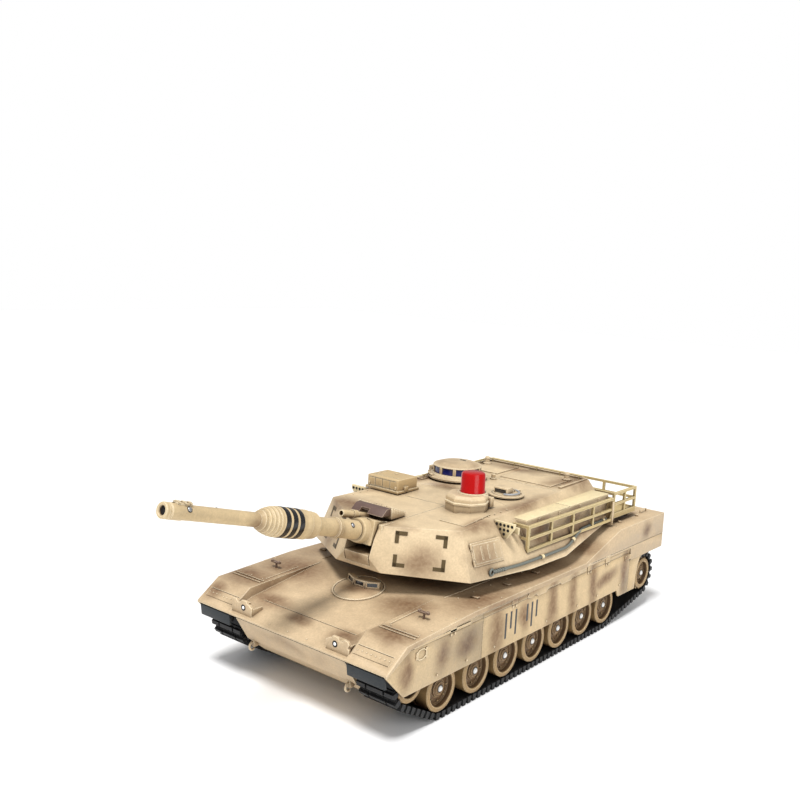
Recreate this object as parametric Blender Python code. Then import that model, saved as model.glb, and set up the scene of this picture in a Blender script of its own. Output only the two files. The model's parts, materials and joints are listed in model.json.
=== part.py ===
"""Radio-controlled battle tank, 1/24 scale, as an assembly of separate parts.

Metres, +Z up, the front faces -Y, the tank's own left side is +X.
The origin is on the ground, in the middle of the overall length and width.
"""
import math

import bmesh
import bpy
from mathutils import Matrix, Vector

MM = 0.001
GAP = 0.3 * MM             # clearance between pieces that touch
WALL = 2.0 * MM            # moulded wall
SIDES = (("left", 1), ("right", -1))

# Running gear
WHEEL_RADIUS = 13.2 * MM
WHEEL_WIDTH = 19.5 * MM
WHEEL_GAP = 5.4 * MM       # between two wheels' rims
FIRST_WHEEL_EXTRA_GAP = 2.1 * MM
WHEEL_COUNT = 7
TRACK_THICKNESS = 4.1 * MM
TRACK_WIDTH = 26.5 * MM
IDLER_RADIUS = 11.0 * MM
IDLER_Y = 24.5 * MM
IDLER_Z = 30.0 * MM
SPROCKET_RADIUS = 12.8 * MM
SPROCKET_FROM_REAR = 25.0 * MM
SPROCKET_Z = 28.0 * MM
AXLE_RADIUS = 2.0 * MM
BORE_CLEARANCE = 0.35 * MM
FRONT_OVERHANG = 52.7 * MM   # nose to the first wheel's axle
REAR_OVERHANG = 84.4 * MM    # last wheel's axle to the tail

# Hull
TUB_HALF_WIDTH = 44.0 * MM
TUB_FLOOR_Z = 13.0 * MM
TAIL_RAMP = 13.0 * MM      # tail to the end of the flat belly
TRACK_SIDE_CLEARANCE = 3.0 * MM
SKIRT_CLEARANCE = 0.5 * MM
SKIRT_THICKNESS = 2.0 * MM
NOSE_Z = 42.7 * MM
NOSE_LIP = 1.6 * MM
FENDER_CREST_Y = 16.0 * MM
FENDER_CREST_Z = 54.0 * MM
GLACIS_BREAK_Y = 18.0 * MM
GLACIS_BREAK_Z = 48.0 * MM
DECK_START_Y = 78.0 * MM
DECK_Z = 57.3 * MM
DECK_EDGE_DROP = 3.3 * MM    # deck top down to the skirt's top edge
ENGINE_DECK_RISE = 14.4 * MM
ENGINE_SLOPE_FROM_REAR = 122.0 * MM
ENGINE_DECK_FROM_REAR = 73.0 * MM
TAIL_BAND_FROM_REAR = 53.0 * MM
TAIL_BAND_Z = 44.8 * MM
SKIRT_FRONT_TIP_Y = 15.7 * MM
SKIRT_BOTTOM_Z = 25.7 * MM
SKIRT_DROP_FROM_REAR = 71.0 * MM
SKIRT_DROP_Z = 20.5 * MM
SKIRT_END_FROM_REAR = 42.0 * MM
SKIRT_CUTOUT_LENGTH = 9.0 * MM
FLAP_THICKNESS = 2.0 * MM
FLAP_DROP = 7.0 * MM
HATCH_Y = 63.0 * MM
HATCH_RADIUS = 16.5 * MM
HATCH_THICKNESS = 1.6 * MM
LAMP_X = 41.0 * MM
LAMP_Y = 6.0 * MM
LAMP_SIZE = Vector((10.0, 7.0, 7.5)) * MM
LAMP_LENS_RADIUS = 1.7 * MM
GRILLE_THICKNESS = 1.7 * MM
GRILLE_HALF_WIDTH = 52.0 * MM
GRILLE_HEIGHT = 16.0 * MM
GRILLE_Z = 63.0 * MM

# Inside the hull
DOOR_CENTRE_Y = 140.0 * MM
DOOR_LENGTH = 78.0 * MM
DOOR_WIDTH = 50.0 * MM
BATTERY_SIZE = Vector((42.0, 70.0, 17.0)) * MM
BOARD_SIZE = Vector((50.0, 54.0, 1.6)) * MM
BOARD_Y = 232.0 * MM
SPEAKER_RADIUS = 14.0 * MM
SPEAKER_HEIGHT = 8.0 * MM
SPEAKER_Y = 62.0 * MM
SWITCH_X = 34.0 * MM
SWITCH_Y = 110.0 * MM
SWITCH_SIZE = Vector((4.0, 7.0, 3.6)) * MM
SWITCH_TRAVEL = 4.0 * MM
FINAL_GEAR_RADIUS = 12.0 * MM
GEAR_WIDTH = 3.0 * MM
PINION_RADIUS = 3.0 * MM
MOTOR_RADIUS = 8.0 * MM
MOTOR_LENGTH = 25.0 * MM
MOTOR_SHAFT_RADIUS = 1.0 * MM
FRAME_WALL = 1.8 * MM

# Turret, with heights above the turret's base plane
TURRET_AXIS_Y = 150.0 * MM
TURRET_GAP = 9.2 * MM        # deck to the base plane
RING_RADIUS = 41.0 * MM
RING_CLEARANCE = 0.8 * MM
RING_GEAR_HEIGHT = 4.0 * MM
FLOOR_THICKNESS = 2.0 * MM
POST_RADIUS = 3.0 * MM
TURRET_PINION_RADIUS = 5.0 * MM
TURRET_HEIGHT = 35.0 * MM
ROOF_FRONT_DROP = 5.6 * MM
TURRET_FRONT = 90.0 * MM     # axis to the lower front corner
TURRET_REAR = 114.0 * MM     # axis to the rear wall
TURRET_HALF_WIDTH = 72.5 * MM
ROOF_HALF_WIDTH = 45.0 * MM
BOX_OUTER_X = 62.5 * MM
BOX_FRONT_Y = -1.0 * MM
BOX_REAR_Y = 110.0 * MM
BOX_TOP = 28.0 * MM
RACK_STANDOFF = 4.5 * MM
RACK_BASE = 9.5 * MM
RAIL = 1.8 * MM
SIDE_RACK_ROWS = 2
SIDE_RACK_BAYS = 4
BUSTLE_DEPTH = 36.0 * MM
BUSTLE_HALF_WIDTH = 65.0 * MM
BUSTLE_BASE = 9.5 * MM
BUSTLE_TOP = 28.5 * MM
SIGHT_SIZE = Vector((27.0, 21.0, 8.5)) * MM
SIGHT_CENTRE = Vector((-39.5, -12.5)) * MM
CUPOLA_CENTRE = Vector((-27.0, 46.0)) * MM
CUPOLA_RADIUS = 17.5 * MM
CUPOLA_RING_RADIUS = 21.5 * MM
CUPOLA_HEIGHT = 11.0 * MM
BEACON_CENTRE = Vector((27.5, -12.3)) * MM
BEACON_BASE_RADIUS = 15.5 * MM
BEACON_BASE_SHIFT = Vector((-1.5, -3.5)) * MM   # base centre from the lens
BEACON_BASE_HEIGHT = 9.0 * MM
BEACON_RADIUS = 8.2 * MM
BEACON_HEIGHT = 22.5 * MM
LOADER_CENTRE = Vector((27.0, 29.0)) * MM
LOADER_RADIUS = 12.0 * MM
SMOKE_CENTRE = Vector((60.0, -23.0, 31.0)) * MM
SMOKE_HALF_WIDTH = 7.5 * MM
SMOKE_HEIGHT = 10.0 * MM
SMOKE_THICKNESS = 1.8 * MM

# Gun, along its own axis from the trunnion
TRUNNION_FROM_AXIS = 75.0 * MM
TRUNNION_HEIGHT = 21.5 * MM  # above the turret's base plane
REST_ELEVATION = math.radians(14.5)
GUN_LENGTH = 164.6 * MM
MANTLET_HALF_WIDTH = 9.6 * MM
MANTLET_DRUM_RADIUS = 8.2 * MM
MANTLET_RING_RADIUS = 7.3 * MM
MANTLET_FRONT = 18.6 * MM
TRUNNION_PIN_RADIUS = 2.0 * MM
BARREL_RADIUS = 4.0 * MM
BORE_RADIUS = 2.4 * MM
MUZZLE_RADIUS = 4.3 * MM
MUZZLE_LENGTH = 12.0 * MM
EVACUATOR_FRONT = 65.0 * MM  # from the muzzle
EVACUATOR_BODY = 84.0 * MM
EVACUATOR_REAR = 107.0 * MM
EVACUATOR_RADIUS = 8.75 * MM
SLEEVE_RADIUS = 5.4 * MM
SLEEVE_STEP = 127.0 * MM
REAR_SLEEVE_RADIUS = 5.75 * MM
COAX_RADIUS = 2.3 * MM
COAX_OFFSET = Vector((-6.3, 8.2)) * MM
COAX_FRONT = 28.0 * MM

# What follows from the sizes above
TUB_INNER = TUB_HALF_WIDTH - WALL
TRACK_INNER_X = TUB_HALF_WIDTH + TRACK_SIDE_CLEARANCE
TRACK_OUTER_X = TRACK_INNER_X + TRACK_WIDTH
HULL_HALF_WIDTH = TRACK_OUTER_X + SKIRT_CLEARANCE + SKIRT_THICKNESS
FENDER_INNER_X = TRACK_INNER_X - 0.4 * MM
WHEEL_PITCH = 2 * WHEEL_RADIUS + WHEEL_GAP
WHEEL_Z = TRACK_THICKNESS + GAP + WHEEL_RADIUS
WHEEL_YS = [FRONT_OVERHANG + i * WHEEL_PITCH + min(i, 1) * FIRST_WHEEL_EXTRA_GAP
            for i in range(WHEEL_COUNT)]
HULL_LENGTH = WHEEL_YS[-1] + REAR_OVERHANG
SPROCKET_Y = HULL_LENGTH - SPROCKET_FROM_REAR
WHEEL_OUTER_X = TRACK_OUTER_X - GAP
WHEEL_INNER_X = WHEEL_OUTER_X - WHEEL_WIDTH
ENGINE_DECK_Z = DECK_Z + ENGINE_DECK_RISE
DECK_EDGE_Z = DECK_Z - DECK_EDGE_DROP
DECK_UNDERSIDE_Z = DECK_Z - WALL
TUB_INNER_Z = TUB_FLOOR_Z + WALL
TURRET_BASE_Z = DECK_Z + TURRET_GAP
MUZZLE_FRONT_Y = (TURRET_AXIS_Y - TRUNNION_FROM_AXIS
                  - GUN_LENGTH * math.cos(REST_ELEVATION)
                  - MUZZLE_RADIUS * math.sin(REST_ELEVATION))
LENGTH_CENTRE_Y = (HULL_LENGTH + MUZZLE_FRONT_Y) / 2
MOTOR_Y = SPROCKET_Y - FINAL_GEAR_RADIUS - PINION_RADIUS - GAP
GEAR_OUTER_X = TUB_INNER - 1.0 * MM
GEAR_INNER_X = GEAR_OUTER_X - GEAR_WIDTH
FRAME_OUTER_X = GEAR_INNER_X - 0.8 * MM
ROOF_Z_FRONT = TURRET_HEIGHT - ROOF_FRONT_DROP
SLOT_HALF_WIDTH = MANTLET_HALF_WIDTH + 0.5 * MM

# Every finish: colour, roughness, metallic
FINISHES = {
    "sand_plastic": ((0.72, 0.54, 0.29), 0.55, 0.0),
    "rack_plastic": ((0.60, 0.47, 0.20), 0.50, 0.0),
    "wheel_plastic": ((0.42, 0.27, 0.13), 0.55, 0.0),
    "track_rubber": ((0.012, 0.013, 0.014), 0.70, 0.0),
    "beacon_red": ((0.60, 0.01, 0.02), 0.15, 0.0),
    "window_blue": ((0.02, 0.03, 0.25), 0.15, 0.0),
    "lamp_lens": ((0.85, 0.88, 0.90), 0.10, 0.0),
    "steel": ((0.55, 0.56, 0.57), 0.35, 1.0),
    "board_green": ((0.02, 0.16, 0.06), 0.50, 0.0),
    "battery_wrap": ((0.05, 0.10, 0.35), 0.40, 0.0),
    "black_plastic": ((0.02, 0.02, 0.02), 0.50, 0.0),
}


def finish(name):
    """A material of its own, made once for each finish."""
    if name in bpy.data.materials:
        return bpy.data.materials[name]
    colour, roughness, metallic = FINISHES[name]
    material = bpy.data.materials.new(name)
    material.use_nodes = True
    shader = material.node_tree.nodes["Principled BSDF"]
    shader.inputs["Base Color"].default_value = (*colour, 1)
    shader.inputs["Roughness"].default_value = roughness
    shader.inputs["Metallic"].default_value = metallic
    return material


def empty(name, location, parent=None, tilt=0.0):
    """A frame of reference that pieces hang from."""
    frame = bpy.data.objects.new(name, None)
    frame.location = location
    frame.rotation_euler.x = tilt
    frame.parent = parent
    bpy.context.collection.objects.link(frame)
    return frame


def make_object(name, bm, material, parent, location=(0, 0, 0)):
    """Turn a bmesh into a named object with outward faces."""
    bmesh.ops.remove_doubles(bm, verts=bm.verts, dist=1e-6)
    bmesh.ops.dissolve_degenerate(bm, edges=bm.edges, dist=1e-6)
    bmesh.ops.recalc_face_normals(bm, faces=bm.faces)
    mesh = bpy.data.meshes.new(name)
    bm.to_mesh(mesh)
    bm.free()
    if material:
        mesh.materials.append(finish(material))
    obj = bpy.data.objects.new(name, mesh)
    obj.location = location
    obj.parent = parent
    bpy.context.collection.objects.link(obj)
    return obj


def add_prism(bm, outline, axis, low, high):
    """Extrude a closed outline along an axis; axis 0 takes (y, z) points."""
    points = []
    for a, b in outline:
        point = [a, b]
        point.insert(axis, low)
        points.append(bm.verts.new(point))
    face = bm.faces.new(points)
    step = Vector((0, 0, 0))
    step[axis] = high - low
    out = bmesh.ops.extrude_face_region(bm, geom=[face])
    moved = [g for g in out["geom"] if isinstance(g, bmesh.types.BMVert)]
    bmesh.ops.translate(bm, verts=moved, vec=step)


def add_box(bm, low, high):
    """A box between two corners."""
    low, high = Vector(low), Vector(high)
    matrix = Matrix.Translation((low + high) / 2) @ Matrix.Diagonal((*(high - low), 1))
    bmesh.ops.create_cube(bm, size=1, matrix=matrix)


def add_turned(bm, profile, centre, axis, segments):
    """Spin a closed (radius, along) profile round an axis through centre."""
    along = Vector((0, 0, 0))
    along[axis] = 1
    out = Vector((0, 0, 0))
    out[(axis + 1) % 3] = 1
    centre = Vector(centre)
    verts = [bm.verts.new(centre + out * r + along * t) for r, t in profile]
    edges = [bm.edges.new((verts[i - 1], verts[i])) for i in range(len(verts))]
    bmesh.ops.spin(bm, geom=verts + edges, cent=centre, axis=along,
                   angle=2 * math.pi, steps=segments, use_merge=False)
    bmesh.ops.remove_doubles(bm, verts=bm.verts, dist=1e-6)
    lone = [e for e in bm.edges if not e.link_faces]
    bmesh.ops.delete(bm, geom=lone, context="EDGES")


def prism(name, outline, axis, low, high, material, parent):
    bm = bmesh.new()
    add_prism(bm, outline, axis, low, high)
    return make_object(name, bm, material, parent)


def box(name, low, high, material, parent):
    bm = bmesh.new()
    add_box(bm, low, high)
    return make_object(name, bm, material, parent)


def turned(name, profile, centre, axis, segments, material, parent):
    """A turned piece whose object's origin is the centre given."""
    bm = bmesh.new()
    add_turned(bm, profile, (0, 0, 0), axis, segments)
    obj = make_object(name, bm, material, parent, centre)
    obj.data.shade_smooth()
    obj.data.set_sharp_from_angle(angle=math.radians(35))
    return obj


def disc(radius, low, high):
    """A turned profile: a plain cylinder."""
    return [(0, low), (radius, low), (radius, high), (0, high)]


def hull_solid(name, points, material, parent):
    """The convex solid round a set of points."""
    bm = bmesh.new()
    for point in points:
        bm.verts.new(point)
    out = bmesh.ops.convex_hull(bm, input=bm.verts)
    loose = {g for key in ("geom_interior", "geom_unused") for g in out[key]}
    bmesh.ops.delete(bm, geom=[g for g in loose if g.is_valid], context="VERTS")
    return make_object(name, bm, material, parent)


def combine(target, tool, operation):
    """Cut a tool, whose boxes may overlap, from a piece, or join it on."""
    tool.hide_render = True
    tool.display_type = "WIRE"
    modifier = target.modifiers.new(tool.name, "BOOLEAN")
    modifier.operation = operation
    modifier.solver = "EXACT"
    modifier.use_self = operation == "DIFFERENCE"
    modifier.object = tool


def cut(target, tool):
    combine(target, tool, "DIFFERENCE")


def join(target, tool):
    combine(target, tool, "UNION")


def arc(centre, radius, start, end, steps):
    """Points on an arc, both ends included; angles in degrees."""
    points = []
    for i in range(steps + 1):
        angle = math.radians(start + (end - start) * i / steps)
        points.append((centre[0] + radius * math.cos(angle),
                       centre[1] + radius * math.sin(angle)))
    return points


def belt_outline(circles, margin, step=15):
    """A belt round circles (y, z, radius) listed anticlockwise, set off by a margin."""
    count = len(circles)
    leaving = []
    for i, (y, z, r) in enumerate(circles):
        y2, z2, r2 = circles[(i + 1) % count]
        distance = math.hypot(y2 - y, z2 - z)
        heading = math.degrees(math.atan2(z2 - z, y2 - y))
        leaving.append(heading - math.degrees(math.acos((r - r2) / distance)))
    outline = []
    for i, (y, z, r) in enumerate(circles):
        start, end = leaving[i - 1], leaving[i]
        while end < start:
            end += 360
        steps = max(1, math.ceil((end - start) / step))
        outline += arc((y, z), r + margin, start, end, steps)
    return outline


def mirrored(points):
    """Points on the left side, followed by their twins on the right."""
    return [Vector(p) for p in points] + [Vector((-p[0], p[1], p[2])) for p in points]


# ---------------------------------------------------------------- hull

def glacis_line():
    """The top line along the middle of the hull, front to tail."""
    return [(0, NOSE_Z), (GLACIS_BREAK_Y, GLACIS_BREAK_Z), (DECK_START_Y, DECK_Z),
            (HULL_LENGTH - ENGINE_SLOPE_FROM_REAR, DECK_Z),
            (HULL_LENGTH - ENGINE_DECK_FROM_REAR, ENGINE_DECK_Z),
            (HULL_LENGTH, ENGINE_DECK_Z)]


def height_on(line, y):
    """The height of a broken line at y."""
    for (y0, z0), (y1, z1) in zip(line, line[1:]):
        if y0 <= y <= y1:
            return z0 + (z1 - z0) * (y - y0) / (y1 - y0)
    return line[-1][1]


def fender_line():
    """The top line over the tracks, front to tail."""
    return [(0, NOSE_Z), (FENDER_CREST_Y, FENDER_CREST_Z)] + glacis_line()[2:]


def edge_line():
    """The lower edge of the deck's side wall."""
    band_start = HULL_LENGTH - TAIL_BAND_FROM_REAR
    return [(0, NOSE_Z - NOSE_LIP), (FENDER_CREST_Y + 3 * MM, DECK_EDGE_Z - 3 * MM),
            (DECK_START_Y, DECK_EDGE_Z), (band_start - 1.5 * MM, DECK_EDGE_Z),
            (band_start, TAIL_BAND_Z), (HULL_LENGTH, TAIL_BAND_Z)]


def deck_section(y, plate):
    """The deck's closed channel section at one station along the hull."""
    outer, inner = HULL_HALF_WIDTH, HULL_HALF_WIDTH - SKIRT_THICKNESS
    step_outer, step_inner = FENDER_INNER_X, FENDER_INNER_X + 1.6 * MM
    fender = height_on(fender_line(), y)
    middle = height_on(glacis_line(), y)
    edge = height_on(edge_line(), y)
    half = [(outer, edge), (outer, fender), (step_outer, fender), (step_outer, middle)]
    under = [(step_inner, middle - plate), (step_inner, fender - plate),
             (inner, fender - plate), (inner, edge)]
    top = half + [(-x, z) for x, z in reversed(half)]
    bottom = [(-x, z) for x, z in reversed(under)] + under
    return [(x, y, z) for x, z in top + bottom]


def hull_deck(parent):
    stations = sorted({round(y, 6) for y, _ in glacis_line() + fender_line() + edge_line()})
    bm = bmesh.new()
    previous = None
    for i, y in enumerate(stations):
        plate = NOSE_LIP * 0.8 if i == 0 else WALL
        ring = [bm.verts.new(p) for p in deck_section(y, plate)]
        if previous:
            for k in range(len(ring)):
                bm.faces.new((previous[k - 1], previous[k], ring[k], ring[k - 1]))
        else:
            bm.faces.new(ring)
        previous = ring
    bm.faces.new(previous)
    deck = make_object("hull_deck", bm, "sand_plastic", parent)
    inner = HULL_HALF_WIDTH - SKIRT_THICKNESS / 2
    join(deck, box("tail_plate_tool",
                   (-inner, HULL_LENGTH - WALL - 1 * MM, TAIL_BAND_Z + 1 * MM),
                   (inner, HULL_LENGTH - 1 * MM, ENGINE_DECK_Z - WALL / 2), None, parent))
    ring = disc(RING_RADIUS + RING_CLEARANCE, DECK_UNDERSIDE_Z - 5 * MM, DECK_Z + 5 * MM)
    cut(deck, turned("ring_hole_tool", ring, (0, TURRET_AXIS_Y, 0), 2, 40, None, parent))
    recess = HULL_LENGTH - GRILLE_THICKNESS - GAP
    cut(deck, box("grille_recess_tool",
                  (-GRILLE_HALF_WIDTH - GAP, recess, GRILLE_Z - GRILLE_HEIGHT / 2 - GAP),
                  (GRILLE_HALF_WIDTH + GAP, recess + 5 * MM, GRILLE_Z + GRILLE_HEIGHT / 2 + GAP),
                  None, parent))
    return deck


def axle_tools(parent):
    """One mesh of every stub axle, from inside the tub's walls outwards."""
    bm = bmesh.new()
    places = [(y, WHEEL_Z) for y in WHEEL_YS] + [(IDLER_Y, IDLER_Z)]
    reach = WHEEL_OUTER_X - 4.0 * MM
    for y, z in places:
        for _, side in SIDES:
            low, high = sorted((side * (TUB_HALF_WIDTH - WALL / 2), side * reach))
            add_turned(bm, disc(AXLE_RADIUS, low, high), (0, y, z), 0, 10)
    return make_object("axle_tool", bm, None, parent)


def hull_tub(parent):
    top = [(y, z - WALL - GAP) for y, z in glacis_line() if z <= DECK_Z + GAP]
    tail = HULL_LENGTH - WALL - 1.5 * MM
    outline = [(3.0 * MM, NOSE_Z - 3.2 * MM), (12.9 * MM, 24.2 * MM), (27 * MM, TUB_FLOOR_Z),
               (HULL_LENGTH - TAIL_RAMP, TUB_FLOOR_Z), (tail, SPROCKET_Z),
               (tail, DECK_UNDERSIDE_Z - GAP)] + top[:0:-1]
    tub = prism("hull_tub", outline, 0, -TUB_HALF_WIDTH, TUB_HALF_WIDTH, "sand_plastic", parent)
    hollow = [(8.0 * MM, NOSE_Z - 4.0 * MM), (14.6 * MM, 26 * MM), (28 * MM, TUB_INNER_Z),
              (HULL_LENGTH - TAIL_RAMP - 1 * MM, TUB_INNER_Z), (tail - WALL, SPROCKET_Z),
              (tail - WALL, DECK_Z + 5 * MM), (8.0 * MM, DECK_Z + 5 * MM)]
    cut(tub, prism("tub_hollow_tool", hollow, 0, -TUB_INNER, TUB_INNER, None, parent))
    join(tub, axle_tools(parent))
    bm = bmesh.new()
    half_x, half_y = DOOR_WIDTH / 2 + GAP, DOOR_LENGTH / 2 + GAP
    add_box(bm, (-half_x, DOOR_CENTRE_Y - half_y, TUB_FLOOR_Z - WALL),
            (half_x, DOOR_CENTRE_Y + half_y, TUB_INNER_Z + WALL))
    add_box(bm, (SWITCH_X - SWITCH_SIZE.x / 2 - GAP, SWITCH_Y - SWITCH_SIZE.y / 2 - GAP,
                 TUB_FLOOR_Z - WALL),
            (SWITCH_X + SWITCH_SIZE.x / 2 + GAP,
             SWITCH_Y + SWITCH_SIZE.y / 2 + SWITCH_TRAVEL + GAP, TUB_INNER_Z + WALL))
    for _, side in SIDES:
        low, high = sorted((side * (TUB_INNER - WALL), side * (TUB_HALF_WIDTH + WALL)))
        add_turned(bm, disc(AXLE_RADIUS + BORE_CLEARANCE, low, high),
                   (0, SPROCKET_Y, SPROCKET_Z), 0, 12)
    cut(tub, make_object("tub_openings_tool", bm, None, parent))
    return tub


def skirt(name, side, parent):
    band = HULL_LENGTH - TAIL_BAND_FROM_REAR
    drop = HULL_LENGTH - SKIRT_DROP_FROM_REAR
    end = HULL_LENGTH - SKIRT_END_FROM_REAR
    tip_z = NOSE_Z - NOSE_LIP - GAP
    below = TAIL_BAND_Z - GAP
    rise = below - SKIRT_DROP_Z
    scoop = [(end + SKIRT_CUTOUT_LENGTH * (1 - math.cos(a)), SKIRT_DROP_Z + rise * math.sin(a))
             for a in (math.radians(t) for t in (0, 22, 45, 67, 90))]
    outline = [(0.4 * MM, tip_z), (SKIRT_FRONT_TIP_Y, SKIRT_BOTTOM_Z), (drop, SKIRT_BOTTOM_Z),
               (drop + 3 * MM, SKIRT_DROP_Z)] + scoop
    outline += [(band - 1.5 * MM, below), (band - 1.5 * MM - GAP, DECK_EDGE_Z - GAP),
                (DECK_START_Y, DECK_EDGE_Z - GAP),
                (FENDER_CREST_Y + 3 * MM, DECK_EDGE_Z - 3 * MM - GAP)]
    low, high = sorted((side * HULL_HALF_WIDTH, side * (HULL_HALF_WIDTH - SKIRT_THICKNESS)))
    return prism(name, outline, 0, low, high, "sand_plastic", parent)


def mud_flap(name, side, parent):
    low_x = side * (TRACK_INNER_X + 0.3 * MM)
    high_x = side * (HULL_HALF_WIDTH - SKIRT_THICKNESS - GAP)
    top = NOSE_Z - NOSE_LIP - GAP
    outline = [(0.4 * MM, top), (0.4 * MM + FLAP_THICKNESS, top),
               (1.4 * MM + FLAP_THICKNESS, top - FLAP_DROP), (1.4 * MM, top - FLAP_DROP)]
    low, high = sorted((low_x, high_x))
    return prism(name, outline, 0, low, high, "track_rubber", parent)


def headlamps(parent):
    """A lamp housing on each side of the glacis, with its round lens."""
    for label, side in SIDES:
        x = side * LAMP_X
        front = LAMP_Y - LAMP_SIZE.y / 2
        back = LAMP_Y + LAMP_SIZE.y / 2
        foot = [(front, height_on(glacis_line(), front) + GAP),
                (back, height_on(glacis_line(), back) + GAP)]
        top = NOSE_Z + LAMP_SIZE.z + 1.5 * MM
        outline = foot + [(back, top - 2 * MM), (front, top)]
        housing = prism(f"headlamp_{label}", outline, 0, x - LAMP_SIZE.x / 2,
                        x + LAMP_SIZE.x / 2, "sand_plastic", parent)
        lens_z = NOSE_Z + LAMP_SIZE.z * 0.55
        socket = disc(LAMP_LENS_RADIUS + GAP, -3 * MM, 2.0 * MM)
        centre = (x, front, lens_z)
        cut(housing, turned(f"lamp_socket_{label}_tool", socket, centre, 1, 12, None, parent))
        turned(f"headlamp_lens_{label}", disc(LAMP_LENS_RADIUS, -0.6 * MM, 1.7 * MM), centre, 1,
               12, "lamp_lens", parent)


def driver_hatch(parent):
    """A round cover lying on the glacis, with its block of three viewing windows."""
    slope = math.atan2(DECK_Z - GLACIS_BREAK_Z, DECK_START_Y - GLACIS_BREAK_Y)
    seat = height_on(glacis_line(), HATCH_Y) + GAP / math.cos(slope)
    frame = empty("hatch_frame", (0, HATCH_Y, seat), parent, slope)
    reach = min(HATCH_RADIUS, DECK_START_Y - HATCH_Y - 0.5 * MM)
    flat = math.degrees(math.asin(reach / HATCH_RADIUS))
    outline = arc((0, 0), HATCH_RADIUS, -180 - flat, flat, 18)
    hatch = prism("driver_hatch", outline, 2, 0, HATCH_THICKNESS, "sand_plastic", frame)
    block = [(-11 * MM, reach - 2 * MM), (-11 * MM, -1 * MM), (-5 * MM, -6 * MM),
             (5 * MM, -6 * MM), (11 * MM, -1 * MM), (11 * MM, reach - 2 * MM)]
    join(hatch, prism("hatch_block_tool", block, 2, HATCH_THICKNESS / 2, 4.4 * MM, None, frame))
    return hatch


def rear_grille(parent):
    bm = bmesh.new()
    low_z, high_z = GRILLE_Z - GRILLE_HEIGHT / 2, GRILLE_Z + GRILLE_HEIGHT / 2
    add_box(bm, (-GRILLE_HALF_WIDTH, HULL_LENGTH - GRILLE_THICKNESS, low_z),
            (GRILLE_HALF_WIDTH, HULL_LENGTH, high_z))
    grille = make_object("rear_grille", bm, "sand_plastic", parent)
    slots = bmesh.new()
    pitch = GRILLE_HEIGHT / 5
    for i in range(4):
        z = low_z + pitch * (i + 1)
        add_box(slots, (-GRILLE_HALF_WIDTH + 4 * MM, HULL_LENGTH - 0.8 * MM, z - pitch / 4),
                (GRILLE_HALF_WIDTH - 4 * MM, HULL_LENGTH + 1 * MM, z + pitch / 4))
    cut(grille, make_object("grille_slots_tool", slots, None, parent))
    return grille


def track(name, side, parent):
    """The endless rubber track round the idler, the wheels and the sprocket."""
    circles = [(IDLER_Y, IDLER_Z, IDLER_RADIUS), (WHEEL_YS[0], WHEEL_Z, WHEEL_RADIUS),
               (WHEEL_YS[-1], WHEEL_Z, WHEEL_RADIUS), (SPROCKET_Y, SPROCKET_Z, SPROCKET_RADIUS)]
    low, high = sorted((side * TRACK_INNER_X, side * TRACK_OUTER_X))
    belt = prism(name, belt_outline(circles, GAP + TRACK_THICKNESS), 0, low, high,
                 "track_rubber", parent)
    cut(belt, prism(f"{name}_tool", belt_outline(circles, GAP), 0, low - 1 * MM, high + 1 * MM,
                    None, parent))
    return belt


def dished_profile(radius, side):
    """A wheel with a blind bore inside and a dished face outside; along is x."""
    bore = AXLE_RADIUS + BORE_CLEARANCE
    width = WHEEL_WIDTH
    points = [(bore, 0), (radius, 0), (radius, width), (radius - 2.3 * MM, width),
              (radius - 3.4 * MM, width - 3.2 * MM), (4.2 * MM, width - 3.2 * MM),
              (3.6 * MM, width - 1.2 * MM), (0, width - 1.2 * MM), (0, width - 2.8 * MM),
              (bore, width - 2.8 * MM)]
    return [(r, side * (WHEEL_INNER_X + t)) for r, t in points]


def wheels(parent):
    for label, side in SIDES:
        for i, y in enumerate(WHEEL_YS):
            turned(f"road_wheel_{label}_{i + 1}", dished_profile(WHEEL_RADIUS, side),
                   (0, y, WHEEL_Z), 0, 16, "wheel_plastic", parent)
        turned(f"idler_{label}", dished_profile(IDLER_RADIUS, side),
               (0, IDLER_Y, IDLER_Z), 0, 16, "wheel_plastic", parent)


def sprockets(parent):
    """Each sprocket is one piece with its shaft and its final gear inside the tub."""
    rim, hub = SPROCKET_RADIUS, 4.2 * MM
    for label, side in SIDES:
        points = [(0, GEAR_INNER_X), (FINAL_GEAR_RADIUS, GEAR_INNER_X),
                  (FINAL_GEAR_RADIUS, GEAR_OUTER_X), (AXLE_RADIUS, GEAR_OUTER_X),
                  (AXLE_RADIUS, WHEEL_INNER_X), (rim, WHEEL_INNER_X), (rim, WHEEL_OUTER_X),
                  (rim - 2.2 * MM, WHEEL_OUTER_X), (rim - 3.2 * MM, WHEEL_OUTER_X - 2.6 * MM),
                  (hub, WHEEL_OUTER_X - 2.6 * MM), (hub, WHEEL_OUTER_X - 1 * MM),
                  (0, WHEEL_OUTER_X - 1 * MM)]
        turned(f"sprocket_{label}", [(r, side * x) for r, x in points],
               (0, SPROCKET_Y, SPROCKET_Z), 0, 16, "wheel_plastic", parent)


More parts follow.
